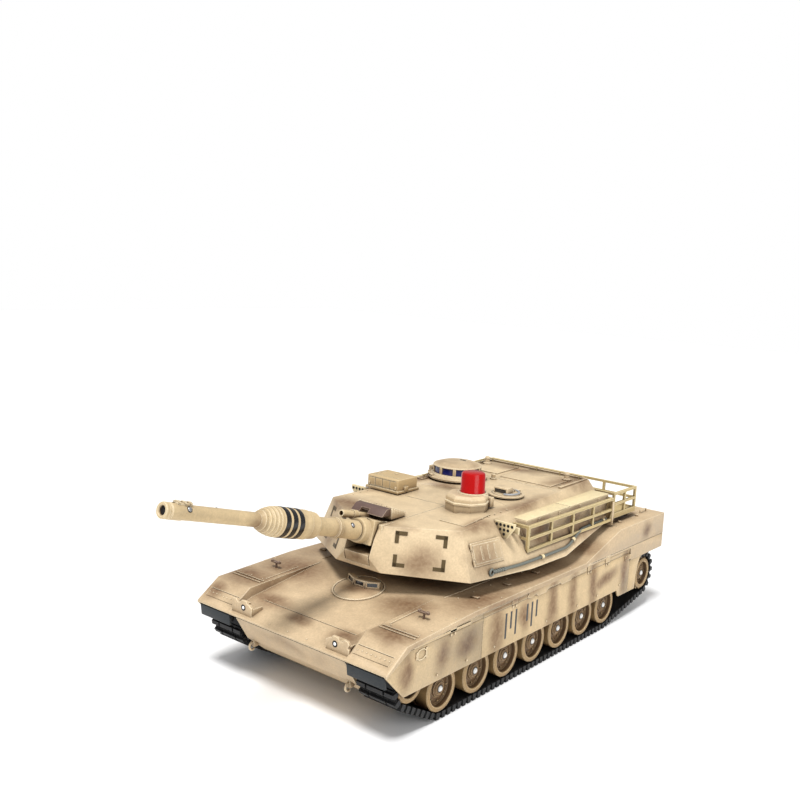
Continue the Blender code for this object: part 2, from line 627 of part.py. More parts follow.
def inside_parts(parent):
    """Battery, board, speaker, switch, drive motors, their frame and pinions."""
    half_x, half_y = DOOR_WIDTH / 2, DOOR_LENGTH / 2
    box("battery_door", (-half_x, DOOR_CENTRE_Y - half_y, TUB_FLOOR_Z),
        (half_x, DOOR_CENTRE_Y + half_y, TUB_INNER_Z), "sand_plastic", parent)
    size = BATTERY_SIZE
    bm = bmesh.new()
    add_box(bm, (-size.x / 2, DOOR_CENTRE_Y - size.y / 2, TUB_INNER_Z + GAP),
            (size.x / 2, DOOR_CENTRE_Y + size.y / 2, TUB_INNER_Z + GAP + size.z))
    battery = make_object("battery_pack", bm, "battery_wrap", parent)
    bevel = battery.modifiers.new("edges", "BEVEL")
    bevel.width = 2 * MM
    bevel.segments = 1
    board = box("circuit_board", (-BOARD_SIZE.x / 2, BOARD_Y - BOARD_SIZE.y / 2, TUB_INNER_Z + GAP),
                (BOARD_SIZE.x / 2, BOARD_Y + BOARD_SIZE.y / 2, TUB_INNER_Z + GAP + BOARD_SIZE.z),
                "board_green", parent)
    chips = bmesh.new()
    board_top = TUB_INNER_Z + GAP + BOARD_SIZE.z
    for x, y, width, height in ((-12, -12, 12, 3), (10, -14, 8, 6), (-8, 12, 16, 4), (14, 10, 7, 9)):
        corner = Vector((x * MM, BOARD_Y + y * MM, board_top - 0.5 * MM))
        add_box(chips, corner - Vector((width / 2 * MM, width / 3 * MM, 0)),
                corner + Vector((width / 2 * MM, width / 3 * MM, height * MM)))
    join(board, make_object("chips_tool", chips, None, parent))
    turned("speaker", [(0, 0), (SPEAKER_RADIUS * 0.5, 0), (SPEAKER_RADIUS * 0.6, SPEAKER_HEIGHT / 2),
                       (SPEAKER_RADIUS, SPEAKER_HEIGHT - 1.5 * MM), (SPEAKER_RADIUS, SPEAKER_HEIGHT),
                       (0, SPEAKER_HEIGHT)],
           (0, SPEAKER_Y, TUB_INNER_Z + GAP), 2, 20, "black_plastic", parent)
    size = SWITCH_SIZE
    switch = box("power_switch", (SWITCH_X - size.x / 2, SWITCH_Y - size.y / 2, TUB_FLOOR_Z - 0.8 * MM),
                 (SWITCH_X + size.x / 2, SWITCH_Y + size.y / 2, TUB_FLOOR_Z - 0.8 * MM + size.z),
                 "black_plastic", parent)
    join(switch, box("switch_flange_tool",
                     (SWITCH_X - size.x / 2 - 1.5 * MM, SWITCH_Y - size.y / 2 - 1.5 * MM,
                      TUB_INNER_Z + GAP),
                     (SWITCH_X + size.x / 2 + 1.5 * MM, SWITCH_Y + size.y / 2 + 1.5 * MM,
                      TUB_INNER_Z + GAP + 1 * MM), None, parent))


def drive_parts(parent):
    """Two drive motors in a U-shaped frame; a pinion on each shaft turns a final gear."""
    motor_low = TUB_INNER_Z + GAP + FRAME_WALL
    floor_low = TUB_INNER_Z + GAP
    outer, inner, top = FRAME_OUTER_X, FRAME_OUTER_X - FRAME_WALL, SPROCKET_Z + MOTOR_RADIUS
    outline = [(-outer, floor_low), (outer, floor_low), (outer, top), (inner, top),
               (inner, motor_low), (-inner, motor_low), (-inner, top), (-outer, top)]
    frame = prism("gearbox_frame", outline, 1, MOTOR_Y - MOTOR_RADIUS - 1 * MM,
                  MOTOR_Y + MOTOR_RADIUS + 1 * MM, "black_plastic", parent)
    holes = disc(MOTOR_SHAFT_RADIUS + 2 * GAP, -FRAME_OUTER_X - 1 * MM, FRAME_OUTER_X + 1 * MM)
    cut(frame, turned("shaft_holes_tool", holes, (0, MOTOR_Y, SPROCKET_Z), 0, 12, None, parent))
    for label, side in SIDES:
        can_outer = FRAME_OUTER_X - FRAME_WALL - GAP
        shaft_end = GEAR_INNER_X - GAP
        body = [(0, can_outer - MOTOR_LENGTH), (MOTOR_RADIUS, can_outer - MOTOR_LENGTH),
                (MOTOR_RADIUS, can_outer), (MOTOR_SHAFT_RADIUS, can_outer),
                (MOTOR_SHAFT_RADIUS, shaft_end), (0, shaft_end)]
        turned(f"drive_motor_{label}", [(r, side * x) for r, x in body],
               (0, MOTOR_Y, SPROCKET_Z), 0, 16, "steel", parent)
        pinion = [(r, side * x) for r, x in disc(PINION_RADIUS, GEAR_INNER_X, GEAR_OUTER_X)]
        turned(f"motor_pinion_{label}", pinion, (0, MOTOR_Y, SPROCKET_Z), 0, 12, "steel", parent)


def traverse_parts(parent):
    """The motor and pinion that turn the turret's ring gear, behind the ring."""
    centre_y = TURRET_AXIS_Y + RING_RADIUS + TURRET_PINION_RADIUS + GAP
    gear_low = DECK_UNDERSIDE_Z - GAP - RING_GEAR_HEIGHT
    shaft_top = gear_low - GAP
    foot = shaft_top - MOTOR_LENGTH
    turned("traverse_motor", disc(MOTOR_RADIUS, foot, shaft_top), (0, centre_y, 0), 2, 16,
           "steel", parent)
    turned("traverse_pinion", disc(TURRET_PINION_RADIUS, gear_low, gear_low + RING_GEAR_HEIGHT),
           (0, centre_y, 0), 2, 14, "black_plastic", parent)


# -------------------------------------------------------------- turret

def turret_points():
    """Corner points of the turret's left half, above the base plane."""
    roof_front = ROOF_Z_FRONT
    cheek_x = TURRET_HALF_WIDTH - 8.9 * MM
    mouth_x = SLOT_HALF_WIDTH
    return {
        "beak": (mouth_x - 2.5 * MM, -TURRET_FRONT - 2.8 * MM, 13.3 * MM),
        "front_low": (18.1 * MM, -TURRET_FRONT, 2.9 * MM),
        "cheek_low": (cheek_x, -TURRET_FRONT + 28.8 * MM, 1.5 * MM),
        "side_low_front": (TURRET_HALF_WIDTH - 1 * MM, -5 * MM, 0),
        "side_low_rear": (TURRET_HALF_WIDTH, 35 * MM, 0),
        "bustle_low_front": (TURRET_HALF_WIDTH - 5 * MM, 83 * MM, 7.5 * MM),
        "bustle_low_rear": (TURRET_HALF_WIDTH - 8 * MM, TURRET_REAR, 10.5 * MM),
        "front_top": (12.5 * MM, -TURRET_FRONT + 6.5 * MM, roof_front),
        "cheek_top": (ROOF_HALF_WIDTH + 7.7 * MM, -TURRET_FRONT + 32.3 * MM, roof_front + 1 * MM),
        "roof_middle": (ROOF_HALF_WIDTH, 0, TURRET_HEIGHT - 2.5 * MM),
        "roof_rear": (ROOF_HALF_WIDTH - 1.5 * MM, TURRET_REAR, TURRET_HEIGHT),
    }


def roof_height(y):
    """Height of the roof's middle above the base plane."""
    points = turret_points()
    line = [points[k][1:] for k in ("front_top", "cheek_top", "roof_middle", "roof_rear")]
    return height_on(line, y)


def shell_hollow(parent):
    """The space inside the turret: the shell's shape drawn in by the wall, open below."""
    wall = WALL * 1.15
    points = []
    for name, (x, y, z) in turret_points().items():
        if name == "beak":
            continue
        across = x - wall * 1.25
        along = y + wall * 1.4 if y < -TURRET_FRONT / 2 else y
        if y >= TURRET_REAR:
            along = y - wall
        if name.endswith("low") or "_low_" in name:
            points.append((across, along, z))
            points.append((across, along, -5 * MM))
        else:
            points.append((across, along, z - wall))
    hollow = hull_solid("shell_hollow_tool", mirrored(points), None, parent)
    back = -TRUNNION_FROM_AXIS + MANTLET_DRUM_RADIUS + WALL + 1.5 * MM
    side = SLOT_HALF_WIDTH + WALL
    cut(hollow, box("slot_walls_tool", (-side, -TURRET_FRONT - 10 * MM, -8 * MM),
                    (side, back, TURRET_HEIGHT), None, parent))
    return hollow


def turret_shell(parent):
    shell = hull_solid("turret_shell", mirrored(turret_points().values()), "sand_plastic", parent)
    boxes = bmesh.new()
    for _, side in SIDES:
        low, high = sorted((side * (ROOF_HALF_WIDTH - 8 * MM), side * BOX_OUTER_X))
        add_box(boxes, (low, BOX_FRONT_Y, RACK_BASE), (high, BOX_REAR_Y, BOX_TOP))
    join(shell, make_object("stowage_boxes_tool", boxes, None, parent))
    cut(shell, shell_hollow(parent))
    slot = bmesh.new()
    back = -TRUNNION_FROM_AXIS + MANTLET_DRUM_RADIUS + 1.0 * MM
    add_box(slot, (-SLOT_HALF_WIDTH, -TURRET_FRONT - 10 * MM, 5.5 * MM),
            (SLOT_HALF_WIDTH, back, TURRET_HEIGHT + 5 * MM))
    cut(shell, make_object("mantlet_slot_tool", slot, None, parent))
    pin = disc(TRUNNION_PIN_RADIUS + GAP, -SLOT_HALF_WIDTH - WALL - 1 * MM,
               SLOT_HALF_WIDTH + WALL + 1 * MM)
    cut(shell, turned("trunnion_hole_tool", pin, (0, -TRUNNION_FROM_AXIS, TRUNNION_HEIGHT), 0, 12,
                      None, parent))
    return shell


def turret_floor(parent):
    """The floor closes the shell, and its drum and ring gear sit in the hull's ring."""
    gear_low = DECK_UNDERSIDE_Z - GAP - RING_GEAR_HEIGHT - TURRET_BASE_Z
    deck_low = DECK_UNDERSIDE_Z - GAP - TURRET_BASE_Z
    deck_top = -TURRET_GAP + GAP
    neck = RING_RADIUS - 1.5 * MM
    flange = RING_RADIUS + 6 * MM
    profile = [(RING_RADIUS - 4 * MM, gear_low), (RING_RADIUS, gear_low), (RING_RADIUS, deck_low),
               (neck, deck_low), (neck, deck_top), (flange, deck_top), (flange, deck_top + 2 * MM),
               (neck, deck_top + 2 * MM), (neck, 1 * MM), (RING_RADIUS - 4 * MM, 1 * MM)]
    floor = turned("turret_floor", profile, (0, 0, 0), 2, 40, "black_plastic", parent)
    low = 1.8 * MM
    reach = TURRET_HALF_WIDTH - 8.5 * MM
    plate = [(-reach + 6 * MM, -TURRET_FRONT + 36 * MM), (reach - 6 * MM, -TURRET_FRONT + 36 * MM),
             (reach, 0), (reach, 34 * MM), (reach - 6 * MM, 60 * MM), (-reach + 6 * MM, 60 * MM),
             (-reach, 34 * MM), (-reach, 0)]
    plate_piece = prism("floor_plate_tool", plate, 2, low - 1.8 * MM, low + FLOOR_THICKNESS, None, parent)
    cut(plate_piece, turned("floor_hole_tool", disc(RING_RADIUS - 9 * MM, -5 * MM, 9 * MM), (0, 0, 0),
                            2, 24, None, parent))
    join(floor, plate_piece)
    posts = bmesh.new()
    spots = ((-34, -40), (34, -40), (-34, 44), (34, 44))
    for x, y in spots:
        top = roof_height(y * MM) - WALL * 1.15 - GAP - 0.3 * MM
        add_turned(posts, disc(POST_RADIUS, low, top), (x * MM, y * MM, 0), 2, 10)
    join(floor, make_object("floor_posts_tool", posts, None, parent))
    return floor


def seat_on_roof(centre, drop=GAP):
    """A frame on the roof at (x, y), just clear of its surface."""
    return roof_height(centre.y) + drop


def roof_parts(parent):
    """Sight box, cupola with windows, beacon and loader's hatch, each level on the roof."""
    low = seat_on_roof(Vector((0, SIGHT_CENTRE.y + SIGHT_SIZE.y / 2)))
    size = SIGHT_SIZE
    sight = box("sight_box", (SIGHT_CENTRE.x - size.x / 2, SIGHT_CENTRE.y - size.y / 2, low),
                (SIGHT_CENTRE.x + size.x / 2, SIGHT_CENTRE.y + size.y / 2, low + size.z),
                "sand_plastic", parent)
    bevel = sight.modifiers.new("edges", "BEVEL")
    bevel.width = 0.6 * MM
    bevel.segments = 1
    low = seat_on_roof(Vector((0, CUPOLA_CENTRE.y + CUPOLA_RING_RADIUS)))
    step = 3.0 * MM
    window_low, window_high = step + 1.2 * MM, step + 4.6 * MM
    inner = CUPOLA_RADIUS - 2.2 * MM
    ring = [(0, 0), (CUPOLA_RING_RADIUS, 0), (CUPOLA_RING_RADIUS - 1 * MM, step - 1 * MM),
            (CUPOLA_RADIUS + 1 * MM, step), (CUPOLA_RADIUS, window_low), (inner, window_low),
            (inner, window_high), (CUPOLA_RADIUS, window_high),
            (CUPOLA_RADIUS - 0.5 * MM, CUPOLA_HEIGHT - 2 * MM),
            (CUPOLA_RADIUS - 4 * MM, CUPOLA_HEIGHT - 0.4 * MM), (0, CUPOLA_HEIGHT)]
    turned("cupola", ring, (*CUPOLA_CENTRE, low), 2, 24, "sand_plastic", parent)
    band = [(inner + GAP, window_low + GAP), (CUPOLA_RADIUS - 0.5 * MM, window_low + GAP),
            (CUPOLA_RADIUS - 0.5 * MM, window_high - GAP), (inner + GAP, window_high - GAP)]
    turned("cupola_windows", band, (*CUPOLA_CENTRE, low), 2, 24, "window_blue", parent)
    low = seat_on_roof(Vector((0, BEACON_CENTRE.y + BEACON_BASE_RADIUS)))
    seat = BEACON_RADIUS + GAP
    floor = BEACON_BASE_HEIGHT - 3 * MM
    base = [(0, 0), (BEACON_BASE_RADIUS, 0), (BEACON_BASE_RADIUS, BEACON_BASE_HEIGHT - 2 * MM),
            (BEACON_BASE_RADIUS - 2.5 * MM, BEACON_BASE_HEIGHT), (0, BEACON_BASE_HEIGHT)]
    base_centre = BEACON_CENTRE + BEACON_BASE_SHIFT
    octagon = turned("beacon_base", base, (*base_centre, low), 2, 8, "sand_plastic", parent)
    cut(octagon, turned("beacon_seat_tool", disc(seat, floor, BEACON_HEIGHT), (*BEACON_CENTRE, low),
                        2, 20, None, parent))
    lens_low = floor + GAP
    lens = [(0, lens_low), (BEACON_RADIUS, lens_low), (BEACON_RADIUS - 0.5 * MM, BEACON_HEIGHT - 1 * MM),
            (BEACON_RADIUS - 1.5 * MM, BEACON_HEIGHT), (0, BEACON_HEIGHT)]
    turned("beacon_lens", lens, (*BEACON_CENTRE, low), 2, 20, "beacon_red", parent)
    low = seat_on_roof(Vector((0, LOADER_CENTRE.y + LOADER_RADIUS)))
    cover = [(0, 0), (LOADER_RADIUS, 0), (LOADER_RADIUS, 1.2 * MM), (LOADER_RADIUS - 3 * MM, 1.8 * MM),
             (0, 1.8 * MM)]
    hatch = turned("loader_hatch", cover, (*LOADER_CENTRE, low), 2, 20, "sand_plastic", parent)
    x, y = LOADER_CENTRE
    join(hatch, box("loader_block_tool", (x - 6 * MM, y - 7 * MM, low + 1 * MM),
                    (x + 4 * MM, y - 1 * MM, low + 6 * MM), None, parent))


def clear_of_shell(name, parent):
    """The shell's outer shape grown by the gap, to trim what stands against it."""
    grown = [Vector(p) + Vector((GAP * 1.5, 0, rise))
             for p in turret_points().values() for rise in (-GAP, GAP)]
    return hull_solid(name, mirrored(grown), None, parent)


def side_rack(name, side, parent):
    """Rails and posts round the stowage box, cut from one bent plate."""
    inner_x = BOX_OUTER_X + GAP
    outer_x = inner_x + RACK_STANDOFF
    front, rear = BOX_FRONT_Y - RACK_STANDOFF, BOX_REAR_Y - 1 * MM
    outline = [(inner_x, rear), (outer_x, rear), (outer_x, front), (inner_x - 12 * MM, front),
               (inner_x - 12 * MM, front + RAIL), (outer_x - RAIL, front + RAIL),
               (outer_x - RAIL, rear - RAIL), (inner_x, rear - RAIL)]
    low, high = RACK_BASE, BOX_TOP - 1.5 * MM
    rack = prism(name, [(side * x, y) for x, y in outline], 2, low, high, "rack_plastic", parent)
    windows = bmesh.new()
    rows, posts = SIDE_RACK_ROWS, SIDE_RACK_BAYS
    row_height = (high - low - RAIL * (rows + 1)) / rows
    bay = (rear - front - RAIL * (posts + 1)) / posts
    for row in range(rows):
        z = low + RAIL + row * (row_height + RAIL)
        for post in range(posts):
            y = front + RAIL + post * (bay + RAIL)
            a, b = sorted((side * (outer_x - RAIL - 0.5 * MM), side * (outer_x + 1 * MM)))
            add_box(windows, (a, y, z), (b, y + bay, z + row_height))
        a, b = sorted((side * (inner_x - 12 * MM + RAIL), side * (outer_x - RAIL)))
        add_box(windows, (a, front - 1 * MM, z), (b, front + RAIL + 0.4 * MM, z + row_height))
    cut(rack, make_object(f"{name}_windows_tool", windows, None, parent))
    cut(rack, clear_of_shell(f"{name}_wall_tool", parent))
    return rack


def bustle_rack(parent):
    """The open basket behind the turret: a floor, rails and posts."""
    outer, inner = BUSTLE_HALF_WIDTH, BUSTLE_HALF_WIDTH - RAIL
    front = TURRET_REAR + GAP
    rear = front + BUSTLE_DEPTH
    rack = box("bustle_rack", (-outer, front, BUSTLE_BASE), (outer, rear, BUSTLE_TOP),
               "rack_plastic", parent)
    hollow = bmesh.new()
    add_box(hollow, (-inner, front + RAIL, BUSTLE_BASE + RAIL), (inner, rear - RAIL, BUSTLE_TOP + RAIL))
    rows, bays = 2, 5
    row_height = (BUSTLE_TOP - BUSTLE_BASE - RAIL * (rows + 2)) / rows
    bay = (2 * inner - RAIL * (bays - 1)) / bays
    deep = BUSTLE_DEPTH - 2 * RAIL
    for row in range(rows):
        z = BUSTLE_BASE + 2 * RAIL + row * (row_height + RAIL)
        for i in range(bays):
            x = -inner + i * (bay + RAIL)
            add_box(hollow, (x, rear - RAIL * 2, z), (x + bay, rear + RAIL, z + row_height))
            add_box(hollow, (x, front - RAIL, z), (x + bay, front + RAIL * 2, z + row_height))
        for _, side in SIDES:
            a, b = sorted((side * (inner - RAIL), side * (outer + RAIL)))
            for k in range(2):
                y = front + RAIL + k * (deep / 2 + RAIL / 2)
                add_box(hollow, (a, y, z), (b, y + deep / 2 - RAIL / 2, z + row_height))
    cut(rack, make_object("bustle_hollow_tool", hollow, None, parent))
    return rack


def smoke_launcher(name, side, parent):
    """A triangular plate of discharger tubes, standing off the turret's side."""
    x, y, z = SMOKE_CENTRE
    half = SMOKE_HALF_WIDTH
    outline = [(x - half, z), (x + half, z), (x + half, z - 2.5 * MM), (x + 2 * MM, z - SMOKE_HEIGHT),
               (x - 2 * MM, z - SMOKE_HEIGHT), (x - half, z - 2.5 * MM)]
    plate = prism(name, [(side * a, b) for a, b in outline], 1, y, y + SMOKE_THICKNESS,
                  "rack_plastic", parent)
    low, high = sorted((side * (x - 16 * MM), side * x))
    join(plate, box(f"{name}_arm_tool", (low, y + SMOKE_THICKNESS / 2, z - SMOKE_HEIGHT),
                    (high, y + SMOKE_THICKNESS / 2 + 3 * MM, z - SMOKE_HEIGHT / 2), None, parent))
    cut(plate, clear_of_shell(f"{name}_wall_tool", parent))
    return plate


# ----------------------------------------------------------------- gun

def gun_parts(parent):
    """The mantlet on its trunnion pins, the barrel ahead of it and the coaxial tube."""
    drum = disc(MANTLET_DRUM_RADIUS, -MANTLET_HALF_WIDTH, MANTLET_HALF_WIDTH)
    mantlet = turned("mantlet", drum, (0, 0, 0), 0, 20, "sand_plastic", parent)
    pins = disc(TRUNNION_PIN_RADIUS, -SLOT_HALF_WIDTH - WALL, SLOT_HALF_WIDTH + WALL)
    join(mantlet, turned("trunnion_pins_tool", pins, (0, 0, 0), 0, 10, None, parent))
    block = [(-MANTLET_HALF_WIDTH + 0.4 * MM, -7.5 * MM), (MANTLET_HALF_WIDTH - 0.4 * MM, -7.5 * MM),
             (MANTLET_HALF_WIDTH - 0.4 * MM, 7.9 * MM), (-MANTLET_HALF_WIDTH + 0.4 * MM, 7.9 * MM)]
    join(mantlet, prism("mantlet_block_tool", block, 1, -MANTLET_FRONT + 5 * MM, 0, None, parent))
    nose = [(0, -MANTLET_FRONT), (MANTLET_RING_RADIUS, -MANTLET_FRONT),
            (MANTLET_RING_RADIUS + 0.8 * MM, -MANTLET_FRONT + 6 * MM), (0, -MANTLET_FRONT + 6 * MM)]
    join(mantlet, turned("mantlet_nose_tool", nose, (0, 0, 0), 1, 20, None, parent))
    muzzle, back = -GUN_LENGTH, -MANTLET_FRONT - GAP
    barrel = [(BORE_RADIUS, muzzle), (MUZZLE_RADIUS, muzzle), (MUZZLE_RADIUS, muzzle + MUZZLE_LENGTH),
              (BARREL_RADIUS, muzzle + MUZZLE_LENGTH + 0.5 * MM),
              (BARREL_RADIUS + 0.3 * MM, muzzle + EVACUATOR_FRONT),
              (EVACUATOR_RADIUS - 1 * MM, muzzle + EVACUATOR_BODY - 4 * MM),
              (EVACUATOR_RADIUS, muzzle + EVACUATOR_BODY),
              (EVACUATOR_RADIUS, muzzle + EVACUATOR_REAR - 2 * MM),
              (SLEEVE_RADIUS, muzzle + EVACUATOR_REAR), (SLEEVE_RADIUS, muzzle + SLEEVE_STEP),
              (REAR_SLEEVE_RADIUS, muzzle + SLEEVE_STEP), (REAR_SLEEVE_RADIUS, back), (0, back),
              (0, muzzle + 30 * MM), (BORE_RADIUS, muzzle + 30 * MM)]
    turned("gun_barrel", barrel, (0, 0, 0), 1, 20, "sand_plastic", parent)
    bore = COAX_RADIUS * 0.6
    low = -MANTLET_FRONT - COAX_FRONT * 0.3
    tube = [(0, low + 4 * MM), (bore, low + 4 * MM), (bore, low), (COAX_RADIUS, low),
            (COAX_RADIUS, 2 * MM), (0, 2 * MM)]
    offset = (COAX_OFFSET.x, 0, COAX_OFFSET.y + COAX_RADIUS + GAP)
    turned("coax_tube", tube, offset, 1, 12, "sand_plastic", parent)


def main():
    for obj in list(bpy.data.objects):
        bpy.data.objects.remove(obj, do_unlink=True)
    hull = empty("hull_frame", (0, -LENGTH_CENTRE_Y, 0))
    turret = empty("turret_frame", (0, TURRET_AXIS_Y, TURRET_BASE_Z), hull)
    gun = empty("gun_frame", (0, -TRUNNION_FROM_AXIS, TRUNNION_HEIGHT), turret, -REST_ELEVATION)
    hull_tub(hull)
    hull_deck(hull)
    for label, side in SIDES:
        skirt(f"skirt_{label}", side, hull)
        mud_flap(f"mud_flap_{label}", side, hull)
        track(f"track_{label}", side, hull)
        side_rack(f"side_rack_{label}", side, turret)
        smoke_launcher(f"smoke_launcher_{label}", side, turret)
    headlamps(hull)
    driver_hatch(hull)
    rear_grille(hull)
    wheels(hull)
    sprockets(hull)
    inside_parts(hull)
    drive_parts(hull)
    traverse_parts(hull)
    turret_shell(turret)
    turret_floor(turret)
    roof_parts(turret)
    bustle_rack(turret)
    gun_parts(gun)
    bpy.context.view_layer.update()


main()
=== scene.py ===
"""Looks for the radio-controlled tank: moulded plastic, airbrushed camouflage, rubber and racks."""
import json
import math

import bpy
from mathutils import Matrix, Vector
from mathutils.bvhtree import BVHTree


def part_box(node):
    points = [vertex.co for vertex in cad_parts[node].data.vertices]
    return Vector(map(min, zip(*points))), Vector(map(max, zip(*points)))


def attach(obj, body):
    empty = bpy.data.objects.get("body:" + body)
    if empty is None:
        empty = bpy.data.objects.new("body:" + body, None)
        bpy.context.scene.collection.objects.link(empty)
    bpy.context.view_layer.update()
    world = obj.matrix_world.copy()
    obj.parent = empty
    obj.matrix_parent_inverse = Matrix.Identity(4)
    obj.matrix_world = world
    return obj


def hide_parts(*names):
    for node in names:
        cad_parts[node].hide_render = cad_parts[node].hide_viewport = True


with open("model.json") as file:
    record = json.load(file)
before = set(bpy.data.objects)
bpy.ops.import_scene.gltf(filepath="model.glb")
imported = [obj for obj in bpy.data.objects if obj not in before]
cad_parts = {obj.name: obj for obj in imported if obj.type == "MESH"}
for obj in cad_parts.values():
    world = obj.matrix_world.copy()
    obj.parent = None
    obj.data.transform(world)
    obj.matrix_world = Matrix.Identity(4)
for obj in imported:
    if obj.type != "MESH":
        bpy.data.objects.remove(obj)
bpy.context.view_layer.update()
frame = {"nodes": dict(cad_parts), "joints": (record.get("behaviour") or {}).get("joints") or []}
MM = 0.001
ORIGIN = Vector((0, 0, 0))
TRACK_CLEARANCE = 0.3
LINK_PITCH = 5.0
LINK_DEPTH = 4.1
SIDES = (("left", 1), ("right", -1))
WHEELS = 7
SKIRT_FACE = 75.35

NOSE_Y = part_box("hull_deck")[0].y
JOINTS = {joint["name"]: joint for joint in frame["joints"]}
TURRET_AXIS = Vector(JOINTS["turret_traverse"]["pos_m"])
TRUNNION = Vector(JOINTS["gun_elevation"]["pos_m"])
GUN_TILT = math.radians(14.5)
GUN_PLACE = Matrix.Translation(TRUNNION) @ Matrix.Rotation(-GUN_TILT, 4, "X")


def hull(x, y, z):
    """A point given in millimetres from the nose, the ground and the middle."""
    return Vector((x * MM, NOSE_Y + y * MM, z * MM))


def turret(x, y, z):
    """A point given in millimetres from the turret's axis and base plane."""
    return TURRET_AXIS + Vector((x, y, z)) * MM


def spot(place):
    """A place: a Vector is in metres already, a plain tuple is in millimetres."""
    return place if isinstance(place, Vector) else Vector([v * MM for v in place])


def seat_of(name):
    """The middle of the underside of a CAD node."""
    low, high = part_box(name)
    return Vector(((low.x + high.x) / 2, (low.y + high.y) / 2, low.z))


def box_mm(name):
    """The two corners of a CAD node's box, in millimetres."""
    return [[v / MM for v in corner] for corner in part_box(name)]


# ------------------------------------------------------------- modelling

def only(obj):
    """Select one object and make it active."""
    bpy.ops.object.select_all(action="DESELECT")
    obj.select_set(True)
    bpy.context.view_layer.objects.active = obj


def edit(obj):
    """Open one object for editing, all of it selected."""
    only(obj)
    bpy.ops.object.mode_set(mode="EDIT")
    bpy.ops.mesh.select_all(action="SELECT")


def leave():
    """Go back to object mode."""
    bpy.ops.object.mode_set(mode="OBJECT")


def settle(obj):
    """Put the place, turn and scale of an object into its mesh."""
    only(obj)
    bpy.ops.object.transform_apply(location=True, rotation=True, scale=True)


def close_up(obj):
    """Merge doubles, drop loose edges and face everything outwards."""
    edit(obj)
    bpy.ops.mesh.remove_doubles(threshold=1e-6)
    bpy.ops.mesh.delete_loose(use_verts=True, use_edges=True, use_faces=False)
    bpy.ops.mesh.normals_make_consistent(inside=False)
    leave()


def apply_all(obj):
    """Apply an object's modifiers."""
    only(obj)
    for modifier in list(obj.modifiers):
        bpy.ops.object.modifier_apply(modifier=modifier.name)


def round_edges(obj, width=0.4, segments=2, angle=32):
    """Bevel the edges sharper than an angle; the width is in millimetres."""
    modifier = obj.modifiers.new("edges", "BEVEL")
    modifier.width = width * MM
    modifier.segments = segments
    modifier.limit_method = "ANGLE"
    modifier.angle_limit = math.radians(angle)
    modifier.use_clamp_overlap = False
    apply_all(obj)
    return obj


def smooth(obj, angle=35):
    """Shade smooth, with sharp edges over an angle."""
    only(obj)
    bpy.ops.object.shade_smooth_by_angle(angle=math.radians(angle))
    return obj


def block(low, high, edge=0.35, segments=2):
    """A box with rounded edges between two corners."""
    low, high = spot(low), spot(high)
    bpy.ops.mesh.primitive_cube_add(size=1, location=(low + high) / 2)
    obj = bpy.context.object
    obj.scale = [abs(v) for v in high - low]
    settle(obj)
    if edge:
        round_edges(obj, edge, segments)
    return obj


def cut_sheet(outline, axis, low, high, edge=0.3, segments=2, at=ORIGIN):
    """An outline extruded along an axis; axis 0 takes (y, z) points, 1 (x, z), 2 (x, y)."""
    bpy.ops.mesh.primitive_circle_add(vertices=len(outline), radius=1, fill_type="NGON")
    obj = bpy.context.object
    for vertex, (a, b) in zip(obj.data.vertices, outline):
        point = [a, b]
        point.insert(axis, low)
        vertex.co = [start + v * MM for start, v in zip(at, point)]
    ends = Vector((at[axis] + low * MM, at[axis] + high * MM, 0))
    step = Vector((0, 0, 0))
    step[axis] = ends.y - ends.x if at[axis] else (high - low) * MM
    edit(obj)
    bpy.ops.mesh.extrude_region_move(TRANSFORM_OT_translate={"value": step})
    leave()
    close_up(obj)
    if edge:
        round_edges(obj, edge, segments)
    return obj


def turned(profile, centre=ORIGIN, axis=2, segments=32, angle=35):
    """A closed (radius, along) profile in millimetres, spun round an axis through the centre."""
    along, out = Vector((0, 0, 0)), Vector((0, 0, 0))
    along[axis], out[(axis + 1) % 3] = 1, 1
    centre = spot(centre)
    bpy.ops.mesh.primitive_circle_add(vertices=len(profile), radius=1, fill_type="NOTHING")
    obj = bpy.context.object
    for vertex, (r, t) in zip(obj.data.vertices, profile):
        vertex.co = centre + (out * r + along * t) * MM
    edit(obj)
    bpy.ops.mesh.spin(steps=segments, angle=2 * math.pi, center=centre, axis=along)
    leave()
    close_up(obj)
    return smooth(obj, angle)


def pin(radius, low, high, centre, axis=2, segments=16, chamfer=0.15):
    """A short round pin with chamfered ends, measured in millimetres from its centre."""
    chamfer = math.copysign(min(chamfer, radius / 2), high - low)
    profile = [(0, low), (radius - abs(chamfer), low), (radius, low + chamfer), (radius, high - chamfer),
               (radius - abs(chamfer), high), (0, high)]
    return turned(profile, centre, axis, segments)


def rod(points, radius, sides=3, cyclic=False):
    """A round bar or cable along a list of points, its radius in millimetres."""
    curve = bpy.data.curves.new("rod", "CURVE")
    curve.dimensions = "3D"
    curve.bevel_depth = radius * MM
    curve.bevel_resolution = sides
    curve.use_fill_caps = True
    spline = curve.splines.new("POLY")
    spline.points.add(len(points) - 1)
    for target, point in zip(spline.points, points):
        target.co = (*spot(point), 1)
    spline.use_cyclic_u = cyclic
    obj = bpy.data.objects.new("rod", curve)
    bpy.context.collection.objects.link(obj)
    only(obj)
    bpy.ops.object.convert(target="MESH")
    return smooth(bpy.context.object, 50)


def round_angles(start, end, step):
    """Angles in radians, from whole degrees."""
    return [math.radians(degrees) for degrees in range(start, end, step)]


def shifted(objs, offset):
    """Move the meshes of several objects by one step."""
    for obj in objs:
        obj.data.transform(Matrix.Translation(offset))
    return objs


